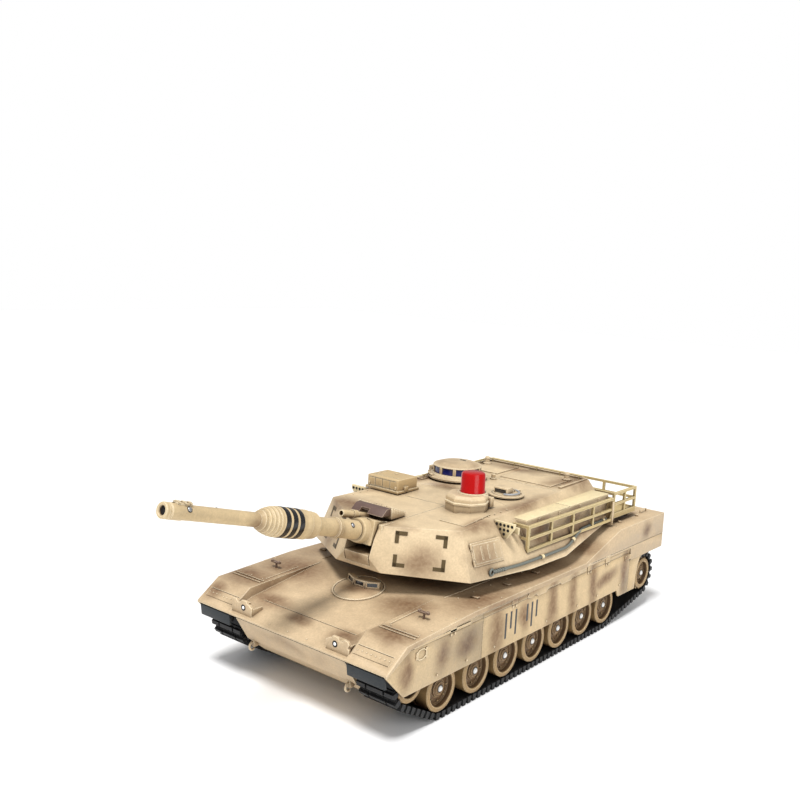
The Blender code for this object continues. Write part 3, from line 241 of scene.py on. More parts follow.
def copy_at(obj, offset=(0, 0, 0), turn=None):
    """A copy with its own mesh, turned about the world's origin and then moved."""
    twin = bpy.data.objects.new(obj.name, obj.data.copy())
    bpy.context.collection.objects.link(twin)
    matrix = Matrix.Translation(offset)
    twin.data.transform(matrix @ turn if turn else matrix)
    return twin


def fused(objs):
    """Several objects joined into one piece."""
    bpy.ops.object.select_all(action="DESELECT")
    for obj in objs:
        obj.select_set(True)
    bpy.context.view_layer.objects.active = objs[0]
    if len(objs) > 1:
        bpy.ops.object.join()
    return bpy.context.view_layer.objects.active


def carve(obj, cutters):
    """Cut a list of shapes out of a piece."""
    tool = fused(cutters)
    modifier = obj.modifiers.new("carve", "BOOLEAN")
    modifier.operation = "DIFFERENCE"
    modifier.solver = "EXACT"
    modifier.use_self = True
    modifier.object = tool
    apply_all(obj)
    bpy.data.objects.remove(tool, do_unlink=True)
    return obj


def node_copy(node, edge=0.5, angle=24):
    """A copy of a CAD node, with its flat faces merged and its edges rounded."""
    obj = bpy.data.objects.new(node + "_skin", frame["nodes"][node].data.copy())
    bpy.context.collection.objects.link(obj)
    edit(obj)
    bpy.ops.mesh.remove_doubles(threshold=1e-6)
    if edge:
        bpy.ops.mesh.dissolve_limited(angle_limit=math.radians(1.0))
    leave()
    obj.data.materials.clear()
    if edge:
        round_edges(obj, edge, 2, angle)
    return obj


def piece(obj, name, body, finish, replaces=(), angle=35):
    """Name a finished piece, give it its material and let it ride on a body."""
    obj.name = name
    obj.data.name = name
    if not obj.data.materials:
        obj.data.materials.append(finish)
    smooth(obj, angle)
    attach(obj, body)
    if replaces:
        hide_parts(*replaces)
    return obj


def on_gun(obj):
    """Turn a shape modelled level, from the trunnion forwards, into the gun's place."""
    obj.data.transform(GUN_PLACE)
    return obj


# -------------------------------------------------------------- finishes

def new_group(name, inputs, outputs):
    """An empty shader group with named sockets, and its two end nodes."""
    group = bpy.data.node_groups.new(name, "ShaderNodeTree")
    for label, kind, value in inputs:
        socket = group.interface.new_socket(label, in_out="INPUT", socket_type=kind)
        if value is not None:
            socket.default_value = value
    for label, kind in outputs:
        group.interface.new_socket(label, in_out="OUTPUT", socket_type=kind)
    return group, group.nodes.new("NodeGroupInput"), group.nodes.new("NodeGroupOutput")


def node(tree, kind, links=None, **settings):
    """Add a node, set its properties and feed its inputs from sockets or values."""
    made = tree.nodes.new(kind)
    for key, value in settings.items():
        setattr(made, key, value)
    for key, value in (links or {}).items():
        if isinstance(value, bpy.types.NodeSocket):
            tree.links.new(value, made.inputs[key])
        else:
            made.inputs[key].default_value = value
    return made


def make_spot_group():
    """One dark spot, used both for airbrushed camouflage and for painted shadow: 1 in its middle, fading out
    at its size.
    """
    group, start, end = new_group("camo_and_shadow_spot", [("Place", "NodeSocketVector", None),
                                                    ("Middle", "NodeSocketVector", None),
                                                    ("Size", "NodeSocketVector", (0.01, 0.01, 0.01)),
                                                    ("Before", "NodeSocketFloat", 0.0)],
                                  [("Mask", "NodeSocketFloat")])
    away = node(group, "ShaderNodeVectorMath", {0: start.outputs["Place"], 1: start.outputs["Middle"]},
                operation="SUBTRACT")
    scaled = node(group, "ShaderNodeVectorMath", {0: away.outputs[0], 1: start.outputs["Size"]},
                  operation="DIVIDE")
    far = node(group, "ShaderNodeVectorMath", {0: scaled.outputs[0]}, operation="LENGTH")
    fade = node(group, "ShaderNodeMapRange", {"Value": far.outputs["Value"], "From Min": 0.05,
                                              "From Max": 1.3, "To Min": 1.0, "To Max": 0.0},
                interpolation_type="SMOOTHSTEP")
    most = node(group, "ShaderNodeMath", {0: fade.outputs[0], 1: start.outputs["Before"]},
                operation="MAXIMUM")
    group.links.new(most.outputs[0], end.inputs["Mask"])
    return group


def make_wear_and_shade_group():
    """Pale rubbed edges, and painted shade that darkens the corners and creases."""
    group, start, end = new_group("edge_wear_and_corner_shade", [("Colour", "NodeSocketColor", None),
                                                ("Edge Colour", "NodeSocketColor", (1, 1, 1, 1)),
                                                ("Corner Shade Colour", "NodeSocketColor", (0.1, 0.06, 0.03, 1)),
                                                ("Edge Amount", "NodeSocketFloat", 0.5),
                                                ("Corner Shade Amount", "NodeSocketFloat", 0.6)],
                                  [("Colour", "NodeSocketColor")])
    geometry = node(group, "ShaderNodeNewGeometry")
    bevel = node(group, "ShaderNodeBevel", {"Radius": 0.6 * MM}, samples=4)
    dot = node(group, "ShaderNodeVectorMath", {0: geometry.outputs["Normal"], 1: bevel.outputs[0]},
               operation="DOT_PRODUCT")
    edge = node(group, "ShaderNodeMapRange", {"Value": dot.outputs["Value"], "From Min": 0.998,
                                              "From Max": 0.90, "To Min": 0.0, "To Max": 1.0})
    # Ambient occlusion finds the hollows, and the colour darkens there as painted shade in corners and
    # creases.
    hollow = node(group, "ShaderNodeAmbientOcclusion", {"Distance": 9 * MM}, samples=4)
    corner_shade = node(group, "ShaderNodeMapRange", {"Value": hollow.outputs["AO"], "From Min": 0.92,
                                              "From Max": 0.25, "To Min": 0.0, "To Max": 1.0})
    open_air = node(group, "ShaderNodeMapRange", {"Value": hollow.outputs["AO"], "From Min": 0.45,
                                                  "From Max": 0.8, "To Min": 0.0, "To Max": 1.0})
    rubbed = node(group, "ShaderNodeMath", {0: edge.outputs[0], 1: open_air.outputs[0]},
                  operation="MULTIPLY")
    edge_share = node(group, "ShaderNodeMath", {0: rubbed.outputs[0], 1: start.outputs["Edge Amount"]},
                      operation="MULTIPLY")
    corner_shade_share = node(group, "ShaderNodeMath", {0: corner_shade.outputs[0], 1: start.outputs["Corner Shade Amount"]},
                      operation="MULTIPLY")
    first = node(group, "ShaderNodeMix", {"Factor": corner_shade_share.outputs[0], 6: start.outputs["Colour"],
                                          7: start.outputs["Corner Shade Colour"]}, data_type="RGBA")
    second = node(group, "ShaderNodeMix", {"Factor": edge_share.outputs[0], 6: first.outputs[2],
                                           7: start.outputs["Edge Colour"]}, data_type="RGBA")
    group.links.new(second.outputs[2], end.inputs["Colour"])
    return group


def make_grain_group():
    """The fine orange-peel of a sprayed toy: a height and a slight mottling."""
    group, start, end = new_group("spray_grain", [("Place", "NodeSocketVector", None),
                                                  ("Scale", "NodeSocketFloat", 900.0),
                                                  ("Mottle Scale", "NodeSocketFloat", 150.0)],
                                  [("Height", "NodeSocketFloat"), ("Mottle", "NodeSocketFloat"),
                                   ("Roughness", "NodeSocketFloat")])
    fine = node(group, "ShaderNodeTexNoise", {"Vector": start.outputs["Place"],
                                              "Scale": start.outputs["Scale"], "Detail": 2.0})
    broad = node(group, "ShaderNodeTexNoise", {"Vector": start.outputs["Place"],
                                               "Scale": start.outputs["Mottle Scale"], "Detail": 4.0,
                                               "Roughness": 0.65})
    both_ways = node(group, "ShaderNodeMath", {0: fine.outputs[0], 1: broad.outputs[0]},
                     operation="MULTIPLY")
    rough = node(group, "ShaderNodeMapRange", {"Value": broad.outputs[0], "From Min": 0.3, "From Max": 0.7,
                                               "To Min": 0.44, "To Max": 0.62})
    group.links.new(fine.outputs[0], end.inputs["Height"])
    group.links.new(both_ways.outputs[0], end.inputs["Mottle"])
    group.links.new(rough.outputs[0], end.inputs["Roughness"])
    return group


SPOT = make_spot_group()
WEAR_AND_SHADE = make_wear_and_shade_group()
GRAIN = make_grain_group()


def grouped(tree, group, links=None):
    made = tree.nodes.new("ShaderNodeGroup")
    made.node_tree = group
    for key, value in (links or {}).items():
        if isinstance(value, bpy.types.NodeSocket):
            tree.links.new(value, made.inputs[key])
        else:
            made.inputs[key].default_value = value
    return made


def bare_material(name, **values):
    """A Principled material with plain socket values."""
    material = bpy.data.materials.new(name)
    material.use_nodes = True
    shader = material.node_tree.nodes["Principled BSDF"]
    for key, value in values.items():
        label = key.replace("_", " ").title().replace("Ior", "IOR")
        shader.inputs[label].default_value = value
    return material, material.node_tree, shader


def painted(name, base, spots=(), dark=(0.150, 0.074, 0.032), edge=(0.90, 0.80, 0.58),
            corner_shade=(0.075, 0.036, 0.014), edge_amount=0.9, corner_shade_amount=0.95, coverage=0.9, bump=0.08,
            mottle=0.9):
    """Moulded plastic with dark spots (airbrushed camouflage, and painted shadow where a spot list holds
    shadow), fine grain, rubbed edges and painted shade in the corners.
    """
    material, tree, shader = bare_material(name, specular_ior_level=0.4)
    place = node(tree, "ShaderNodeTexCoord").outputs["Object"]
    grain = grouped(tree, GRAIN, {"Place": place})
    colour = node(tree, "ShaderNodeMix", {6: (*[c * 0.80 for c in base], 1),
                                          7: (*[min(1, c * 1.14) for c in base], 1)}, data_type="RGBA")
    sway = node(tree, "ShaderNodeMapRange", {"Value": grain.outputs["Mottle"],
                                             "From Min": 0.25 - mottle / 4, "From Max": 0.25 + mottle / 4})
    tree.links.new(sway.outputs[0], colour.inputs["Factor"])
    top = colour.outputs[2]
    if spots:
        swirl = node(tree, "ShaderNodeTexNoise", {"Vector": place, "Scale": 38.0, "Detail": 2.0})
        drift = node(tree, "ShaderNodeVectorMath", {0: swirl.outputs["Color"], 1: (0.5, 0.5, 0.5)},
                     operation="SUBTRACT")
        push = node(tree, "ShaderNodeVectorMath", {0: drift.outputs[0]}, operation="SCALE")
        push.inputs["Scale"].default_value = 14 * MM
        moved = node(tree, "ShaderNodeVectorMath", {0: place, 1: push.outputs[0]}, operation="ADD")
        mask = None
        # Each spot darkens the colour: airbrushed camouflage, and painted shadow for the spots a list gives
        # as shadow.
        for middle, size in spots:
            spot = grouped(tree, SPOT, {"Place": moved.outputs[0], "Middle": middle,
                                        "Size": Vector(size) * MM})
            if mask:
                tree.links.new(mask, spot.inputs["Before"])
            mask = spot.outputs["Mask"]
        speckle = node(tree, "ShaderNodeTexNoise", {"Vector": place, "Scale": 420.0, "Detail": 3.0})
        spray = node(tree, "ShaderNodeMapRange", {"Value": speckle.outputs[0], "From Min": 0.3,
                                                  "From Max": 0.6, "To Min": coverage * 0.75,
                                                  "To Max": coverage})
        share = node(tree, "ShaderNodeMath", {0: mask, 1: spray.outputs[0]}, operation="MULTIPLY")
        camo_and_shadow = node(tree, "ShaderNodeMix", {"Factor": share.outputs[0], 6: top, 7: (*dark, 1)},
                       data_type="RGBA")
        top = camo_and_shadow.outputs[2]
    # Rubbed edges, and painted shade in the corners at the corner colour and amount given.
    worn = grouped(tree, WEAR_AND_SHADE, {"Colour": top, "Edge Colour": (*edge, 1), "Corner Shade Colour": (*corner_shade, 1),
                                "Edge Amount": edge_amount, "Corner Shade Amount": corner_shade_amount})
    tree.links.new(worn.outputs[0], shader.inputs["Base Color"])
    tree.links.new(grain.outputs["Roughness"], shader.inputs["Roughness"])
    height = node(tree, "ShaderNodeBump", {"Height": grain.outputs["Height"], "Strength": bump,
                                           "Distance": 0.12 * MM})
    tree.links.new(height.outputs[0], shader.inputs["Normal"])
    return material


SAND = (0.56, 0.42, 0.26)
# Dark spots on the hull: airbrushed camouflage, except the broad spots on the deck beside and under the
# turret (hull y 98 to 226), which are painted shadow of the turret.
HULL_CAMO_AND_SHADOW_SPOTS = [
    (hull(-62, 30, 54), (30, 20, 16)), (hull(-70, 10, 48), (12, 9, 9)), (hull(-52, 60, 57), (34, 26, 14)),
    (hull(-34, 22, 48), (22, 10, 12)), (hull(60, 24, 54), (20, 12, 12)), (hull(40, 60, 56), (24, 18, 12)),
    (hull(0, 98, 57), (66, 24, 12)), (hull(0, 0, 30), (46, 10, 8)), (hull(66, 100, 56), (22, 40, 8)),
    (hull(-66, 120, 56), (20, 60, 10)), (hull(50, 165, 58), (34, 70, 12)), (hull(-50, 190, 58), (34, 60, 12)),
    (hull(-4, 16, 47), (12, 6, 10)), (hull(34, 14, 47), (14, 8, 10)), (hull(0, 60, 55), (20, 8, 8)),
    (hull(0, 290, 72), (24, 17, 9)), (hull(-52, 262, 70), (15, 24, 10)), (hull(50, 305, 72), (14, 10, 8)),
    (hull(60, 226, 62), (20, 18, 12)), (hull(76, 300, 62), (8, 10, 9)), (hull(0, 331, 50), (60, 6, 8)),
]
SKIRT_SPOTS = []
for side in (1, -1):
    for y, wide, high in ((16, 8, 12), (50, 9, 14), (72, 14, 9), (103, 9, 24), (132, 8, 12), (166, 9, 26),
                          (193, 8, 26), (221, 9, 28), (240, 26, 7), (268, 7, 28)):
        SKIRT_SPOTS.append((hull(side * 76, y, 40), (8, wide, high)))
    SKIRT_SPOTS.append((hull(side * 76, 120, 55), (6, 60, 5)))
TURRET_SPOTS = [
    (turret(40, -76, 12), (18, 14, 13)), (turret(-40, -76, 14), (20, 15, 15)),
    (turret(66, -46, 16), (14, 17, 16)), (turret(-66, -40, 18), (13, 26, 16)),
    (turret(24, -78, 31), (20, 8, 4)), (turret(-34, -62, 31), (26, 18, 8)),
    (turret(52, -42, 31), (9, 24, 7)), (turret(47, 20, 33), (9, 40, 6)), (turret(-46, 20, 33), (9, 60, 6)),
    (turret(62, 60, 10), (12, 60, 8)), (turret(62, 14, 18), (6, 16, 14)), (turret(62, 62, 18), (5, 12, 12)),
    (turret(-62, 60, 14), (12, 50, 12)), (turret(-10, 100, 35), (26, 12, 6)),
    (turret(34, 88, 34), (14, 18, 7)), (turret(-20, 20, 34), (20, 10, 5)),
    (turret(0, 116, 20), (60, 8, 12)), (turret(-27, 46, 43), (19, 19, 6)),
    (turret(40, 104, 32), (12, 16, 10)), (turret(0, -92, 8), (16, 8, 6)),
]
GUN_SPOTS = [(GUN_PLACE @ Vector((0, -103 * MM, -2 * MM)), (9, 9, 9)),
             (GUN_PLACE @ Vector((0, -62 * MM, -4 * MM)), (9, 6, 8)),
             (GUN_PLACE @ Vector((0, -38 * MM, -3 * MM)), (8, 7, 8)),
             (GUN_PLACE @ Vector((0, -4 * MM, 0 * MM)), (14, 12, 14))]

HULL_PAINT = painted("hull_sand", SAND, HULL_CAMO_AND_SHADOW_SPOTS)
SKIRT_PAINT = painted("skirt_sand", (0.60, 0.45, 0.26), SKIRT_SPOTS, coverage=0.92)
TURRET_PAINT = painted("turret_sand", (0.62, 0.48, 0.30), TURRET_SPOTS, coverage=0.9)
GUN_PAINT = painted("gun_sand", (0.58, 0.44, 0.25), GUN_SPOTS, coverage=0.85)
CREAM_PAINT = painted("lid_cream", (0.74, 0.61, 0.36))
COVER_PAINT = painted("mantlet_cover_brown", (0.13, 0.08, 0.065), edge=(0.5, 0.38, 0.26))
# Where a finish below sets its corner colour or amount, that is the painted shade in its corners.
RACK_PLASTIC = painted("rack_khaki", (0.52, 0.40, 0.19), edge=(0.80, 0.68, 0.40), corner_shade_amount=0.9,
                       bump=0.05)
WHEEL_BROWN_AND_FLOOR_SHADE = painted("wheel_brown_and_floor_shade", (0.15, 0.080, 0.030), edge=(0.60, 0.42, 0.2),
                      corner_shade=(0.03, 0.016, 0.008), bump=0.08)
RIM_SAND = painted("rim_sand", (0.33, 0.21, 0.088), edge=(0.80, 0.66, 0.42), corner_shade_amount=1.0)
SIGHT_PAINT = painted("sight_tan", (0.52, 0.38, 0.20), TURRET_SPOTS, coverage=0.5)
STENCIL = painted("stencil_brown", (0.085, 0.055, 0.018), edge=(0.12, 0.08, 0.03), edge_amount=0.2)
MARKING = painted("marking_grey", (0.050, 0.052, 0.050), edge=(0.12, 0.11, 0.10), edge_amount=0.3)


def rubber(name, base, roughness):
    """Moulded rubber: near black, with grey dust rubbed on what stands out and painted shade in its corners.
    """
    material, tree, shader = bare_material(name, specular_ior_level=0.35)
    place = node(tree, "ShaderNodeTexCoord").outputs["Object"]
    grain = grouped(tree, GRAIN, {"Place": place, "Scale": 1400.0, "Mottle Scale": 160.0})
    mix = node(tree, "ShaderNodeMix", {"Factor": grain.outputs["Mottle"], 6: (*base, 1),
                                       7: (*[c * 3 for c in base], 1)}, data_type="RGBA")
    # The corners get a near-black painted shade.
    worn = grouped(tree, WEAR_AND_SHADE, {"Colour": mix.outputs[2], "Edge Colour": (0.05, 0.048, 0.045, 1),
                                "Corner Shade Colour": (0.003, 0.003, 0.003, 1), "Edge Amount": 0.5,
                                "Corner Shade Amount": 0.6})
    tree.links.new(worn.outputs[0], shader.inputs["Base Color"])
    shader.inputs["Roughness"].default_value = roughness
    height = node(tree, "ShaderNodeBump", {"Height": grain.outputs["Height"], "Strength": 0.25,
                                           "Distance": 0.15 * MM})
    tree.links.new(height.outputs[0], shader.inputs["Normal"])
    return material


def shiny(name, colour, roughness, metallic=0.0, scratch=900.0, **values):
    """A smooth finish broken up by fine scratches in its roughness and colour."""
    material, tree, shader = bare_material(name, metallic=metallic, **values)
    place = node(tree, "ShaderNodeTexCoord").outputs["Object"]
    noise = node(tree, "ShaderNodeTexNoise", {"Vector": place, "Scale": scratch, "Detail": 3.0})
    rough = node(tree, "ShaderNodeMapRange", {"Value": noise.outputs[0], "From Min": 0.3, "From Max": 0.7,
                                              "To Min": roughness * 0.7, "To Max": roughness * 1.4})
    tint = node(tree, "ShaderNodeMix", {"Factor": noise.outputs[0], 6: (*[c * 0.8 for c in colour], 1),
                                        7: (*[min(1, c * 1.15) for c in colour], 1)}, data_type="RGBA")
    tree.links.new(rough.outputs[0], shader.inputs["Roughness"])
    tree.links.new(tint.outputs[2], shader.inputs["Base Color"])
    return material


TRACK_RUBBER = rubber("track_black", (0.006, 0.006, 0.0065), 0.55)
FLAP_RUBBER = rubber("flap_black", (0.012, 0.015, 0.017), 0.5)
BAND_BLACK = shiny("band_black", (0.008, 0.008, 0.009), 0.25)
# Near black for the insides of holes, bores and recesses: painted shade.
HOLE_SHADE = shiny("painted_hole_shade", (0.004, 0.003, 0.003), 0.7)
STEEL = shiny("screw_steel", (0.62, 0.63, 0.65), 0.28, metallic=1.0)
HUB_WHITE = shiny("hub_pin_white", (0.78, 0.77, 0.74), 0.25)
# Its corner colour is the painted shade in its corners.
CABLE_GREY = painted("cable_grey", (0.13, 0.14, 0.12), edge=(0.35, 0.36, 0.32), corner_shade=(0.01, 0.01, 0.01))
GREY_RING = shiny("grey_ring", (0.36, 0.37, 0.38), 0.35, metallic=0.2)
BLUE_GLASS = shiny("window_blue_gloss", (0.006, 0.010, 0.11), 0.12)
DARK_GLASS = shiny("window_dark_gloss", (0.012, 0.012, 0.015), 0.1, coat_weight=0.5)
RED_LENS = shiny("beacon_red_clear", (0.42, 0.002, 0.002), 0.16, scratch=160.0, specular_ior_level=0.3)
RED_CORE = shiny("beacon_red_core", (0.62, 0.01, 0.02), 0.35)
CLEAR_LENS = shiny("lamp_clear", (0.9, 0.93, 0.96), 0.05, coat_weight=0.5)
BOARD_GREEN = shiny("board_green_mask", (0.02, 0.16, 0.06), 0.35)
BATTERY_BLUE = shiny("battery_blue_wrap", (0.05, 0.10, 0.35), 0.3)
BLACK_PLASTIC = shiny("black_moulding", (0.02, 0.02, 0.022), 0.45)


def carried_over():
    """Better finishes for the CAD nodes whose shape stays."""
    # The turret floor takes the dark wheel brown as painted shade under the turret.
    finishes = {"hull_tub": HULL_PAINT, "battery_door": HULL_PAINT, "battery_pack": BATTERY_BLUE,
                "circuit_board": BOARD_GREEN, "speaker": BLACK_PLASTIC, "gearbox_frame": BLACK_PLASTIC,
                "power_switch": BLACK_PLASTIC, "traverse_pinion": BLACK_PLASTIC, "traverse_motor": STEEL,
                "turret_floor": WHEEL_BROWN_AND_FLOOR_SHADE, }
    for label, _ in SIDES:
        finishes[f"drive_motor_{label}"] = STEEL
        finishes[f"motor_pinion_{label}"] = STEEL
    for name, material in finishes.items():
        obj = frame["nodes"][name]
        obj.data.materials.clear()
        obj.data.materials.append(material)


# ------------------------------------------------------------------ hull

GLACIS = [(0, 42.7), (18, 48), (78, 57.3), (208, 57.3), (257, 71.7), (330, 71.7)]
FENDER = [(0, 42.7), (16, 54), (78, 57.3), (208, 57.3), (257, 71.7), (330, 71.7)]


def height_on(line, y):
    """The height of a side profile at y."""
    for (y0, z0), (y1, z1) in zip(line, line[1:]):
        if y0 <= y <= y1:
            return z0 + (z1 - z0) * (y - y0) / (y1 - y0)
    return line[-1][1]


def slope_on(line, y):
    """The slope of a side profile at y, as an angle."""
    return math.atan2(height_on(line, y + 1) - height_on(line, y - 1), 2)


def laid_on(obj, line, x, y, lift=0.0):
    """Lay a shape modelled round the origin on a sloping surface at (x, y)."""
    turn = Matrix.Rotation(slope_on(line, y), 4, "X")
    obj.data.transform(Matrix.Translation(hull(x, y, height_on(line, y) + lift)) @ turn)
    return obj


def rivet(size=0.55):
    """A small round-headed rivet at the origin."""
    return turned([(0, -0.3), (size, -0.3), (size, 0.1), (size * 0.75, 0.35), (0, 0.45)], ORIGIN, 2, 10)


def rivet_row(line, x0, x1, y, count, size=0.55):
    """A row of rivets across a sloping surface."""
    step = (x1 - x0) / max(1, count - 1)
    return [laid_on(rivet(size), line, x0 + i * step, y) for i in range(count)]


def hull_deck():
    """The deck, with engraved panel lines."""
    deck = node_copy("hull_deck", 0.35)
    lines = [laid_on(block((-37, -0.25, -0.7), (37, 0.25, 1), 0), GLACIS, 0, 19)]
    for _, side in SIDES:
        for y in (4.2, 9.0):
            lines.append(laid_on(block((-12.5, -0.2, -0.5), (12.5, 0.2, 1), 0), FENDER, side * 60.5, y))
        lines.append(block(hull(side * 52 - 0.25, 268, 71.1), hull(side * 52 + 0.25, 326, 73), 0))
        low, high = sorted((side * 75.4, side * 78))
        lines.append(block(hull(low, 210, 55.4), hull(high, 331, 55.8), 0))
    lines.append(block(hull(-70, 262, 71.1), hull(70, 262.5, 73), 0))
    carve(deck, lines)
    piece(deck, "deck", "hull", HULL_PAINT, replaces=["hull_deck"])


def fender_details():
    """Ribs, rivets, and marker horns with small brackets on the fenders and glacis."""
    ribs = []
    for _, side in SIDES:
        for y in (25.6, 28.4):
            ribs.append(laid_on(block((-12.6, -0.55, -0.3), (12.6, 0.55, 0.7), 0.25), FENDER, side * 60.8,
                                y))
        for y0, y1 in ((32, 60), (82, 134)):
            middle, half = (y0 + y1) / 2, (y1 - y0) / 2
            ribs.append(laid_on(block((-0.45, -half, -0.3), (0.45, half, 0.45), 0.2), FENDER, side * 50.2,
                                middle))
    piece(fused(ribs), "fender_ribs", "hull", HULL_PAINT)
    rivets = []
    for _, side in SIDES:
        rivets += rivet_row(FENDER, side * 50, side * 72, 6.6, 8, 0.45)
        rivets += rivet_row(FENDER, side * 52, side * 72, 31, 3, 0.5)
        for y in (40, 62, 84, 108, 134, 162, 190):
            rivets.append(laid_on(rivet(0.5), FENDER, side * 73.6, y))
    for x in (-30, -15, 0, 15, 30):
        rivets.append(laid_on(rivet(0.5), GLACIS, x, 3))
    piece(fused(rivets), "fender_rivets", "hull", HULL_PAINT)
    horns = []
    for _, side in SIDES:
        top = height_on(FENDER, 50)
        horns.append(pin(0.7, -0.5, 3.4, hull(side * 60, 50, top)))
        horns.append(block(hull(side * 60 - 3.6, 49, top + 3), hull(side * 60 + 3.6, 51, top + 4.2)))
        horns.append(pin(1.1, 0, 1.6, hull(side * 60 - 3, 49.4, top + 3.4)))
        horns.append(pin(1.1, 0, 1.6, hull(side * 60 + 3, 49.4, top + 3.4)))
    piece(fused(horns), "fender_marker_horns", "hull", COVER_PAINT)


def headlamps():
    """A lobed guard on each side, with a small bright lamp in its window."""
    for label, side in SIDES:
        x = side * 38.5
        base = height_on(GLACIS, 3)
        outline = [(-8.5, -0.4), (8.5, -0.4), (8.5, 3.6), (7.4, 4.2), (8.6, 6.0), (7.6, 8.0), (5.2, 8.3),
                   (3.6, 6.6), (1.4, 6.4), (0.4, 8.4), (-3.6, 8.6), (-4.6, 6.8), (-6.4, 6.8), (-7.6, 5.6),
                   (-8.5, 5.4)]
        guard = cut_sheet([(x + side * a, base + b) for a, b in outline], 1, 2.4, 4.2, 0.4,
                          at=hull(0, 0, 0))
        carve(guard, [pin(1.9, -2, 5, hull(x - side * 1.6, 3, base + 4.2), 1),
                      pin(0.8, -2, 5, hull(x + side * 6.2, 3, base + 6.0), 1)])
        parts = [guard, block(hull(x - 6.5, 3.5, base - 0.6), hull(x + 6.5, 10.4, base + 3.2), 0.6),
                 block(hull(x - 4.2, 3.6, base + 2.4), hull(x + 2.2, 8.0, base + 6.4), 0.6)]
        for offset in (-7.6, 6.4):
            middle = x + side * offset
            parts.append(block(hull(middle - 0.7, 3.5, base), hull(middle + 0.7, 11.6, base + 4.4), 0.3))
        piece(fused(parts), f"headlamp_guard_{label}", "hull", HULL_PAINT, replaces=[f"headlamp_{label}"])
        # A near-black disc behind the lamp: painted shade in the guard's hole.
        recess = pin(1.85, 0, 0.3, hull(x - side * 1.6, 2.25, base + 4.2), 1, 20, 0.05)
        piece(recess, f"headlamp_recess_shade_{label}", "hull", HOLE_SHADE)
        lens = pin(1.0, 0, 1.2, hull(x - side * 1.6, 1.9, base + 4.2), 1, 20, 0.35)
        piece(lens, f"headlamp_led_{label}", "hull", CLEAR_LENS,
              replaces=[f"headlamp_lens_{label}"])


def driver_hatch():
    """A hatch outlined by a raised lip, with a block of three viewing windows behind."""
    lip = turned([(15.4, 0), (16.4, 0), (16.4, 0.7), (15.9, 1.0), (15.4, 0.7)], ORIGIN, 2, 48)
    plate = turned([(0, 0.1), (15.0, 0.1), (15.0, 0.5), (13, 0.9), (0, 1.1)], ORIGIN, 2, 48)
    hatch = fused([lip, plate])
    laid_on(hatch, GLACIS, 0, 62)
    piece(hatch, "driver_hatch_cover", "hull", HULL_PAINT, replaces=["driver_hatch"])
    walls, glass = [], []
    for turn, x, y in ((24, -8.6, 1.2), (0, 0, -0.6), (-24, 8.6, 1.2)):
        spin = Matrix.Rotation(math.radians(-turn), 4, "Z")
        tilt = Matrix.Rotation(math.radians(-16), 4, "X")
        place = Matrix.Translation(Vector((x, y, 1.0)) * MM) @ spin @ tilt
        frame_block = block((-4.4, -1.2, -0.4), (4.4, 2.4, 4.0), 0.3)
        carve(frame_block, [block((-3.3, -2, 0.9), (3.3, -0.5, 3.2), 0)])
        pane = block((-3.3, -0.55, 0.9), (3.3, -0.3, 3.2), 0)
        frame_block.data.transform(place)
        pane.data.transform(place)
        walls.append(frame_block)
        glass.append(pane)
    for made in walls + glass:
        laid_on(made, GLACIS, 0, 64)
    piece(fused(walls), "driver_periscopes", "hull", HULL_PAINT)
    piece(fused(glass), "driver_periscope_glass", "hull", DARK_GLASS)


def skirts():
    """The skirt panels, set back a little so that the fittings stand proud of them."""
    for label, side in SIDES:
        skin = node_copy(f"skirt_{label}", 0)
        for vertex in skin.data.vertices:
            if abs(vertex.co.x) > 75.8 * MM:
                vertex.co.x = side * SKIRT_FACE * MM
        round_edges(skin, 0.35, 2, 24)
        low, high = sorted((side * 77, side * (SKIRT_FACE - 0.35)))
        lines = [block(hull(low, y, 15), hull(high, y + 0.45, 53.4), 0) for y in (87, 276)]
        lines.append(block(hull(low, 20, 50.6), hull(high, 300, 50.9), 0))
        carve(skin, lines)
        piece(skin, f"skirt_panel_{label}", "hull", SKIRT_PAINT, replaces=[f"skirt_{label}"])
        inside, outside = side * (SKIRT_FACE - 0.2), side * 75.98
        low, high = sorted((inside, outside))
        stepped = [(134, 51.2), (137, 55.2), (209, 55.2), (209, 52.2), (190, 52.2), (188, 50.2),
                   (176, 50.2), (174, 51.8), (160, 51.8), (157, 49.6), (147, 49.6), (144, 51.6),
                   (139, 50.0)]
        extras = [cut_sheet(stepped, 0, low, high, 0.12, at=hull(0, 0, 0))]
        for y in (57, 120, 214, 240):
            extras.append(block(hull(low, y - 3, 51.0), hull(high, y + 3, 56.2), 0.15))
            for dy in (-1.8, 1.8):
                extras.append(pin(0.8, inside, outside, hull(0, y + dy, 49.6), 0, 12, 0.1))
        for y in (44, 72, 100, 160, 200, 228, 262):
            extras.append(pin(0.6, inside, outside, hull(0, y, 29.5), 0, 12, 0.1))
        eye = rod([hull(side * 75.55, 29 + 4.2 * math.cos(a), 46 + 3.0 * math.sin(a))
                   for a in round_angles(0, 360, 30)], 0.4, cyclic=True)
        extras.append(eye)
        extras.append(block(hull(low, 32.4, 43), hull(high, 34.2, 49), 0.15))
        extras.append(block(hull(low, 24.2, 44), hull(high, 26.0, 48), 0.15))
        for y0, y1, z0, z1 in ((268, 286, 46.0, 49.6), (22, 74, 50.9, 52.4)):
            extras.append(block(hull(low, y0, z0), hull(high, y1, z1), 0.15))
        piece(fused(extras), f"skirt_hinges_{label}", "hull", SKIRT_PAINT)


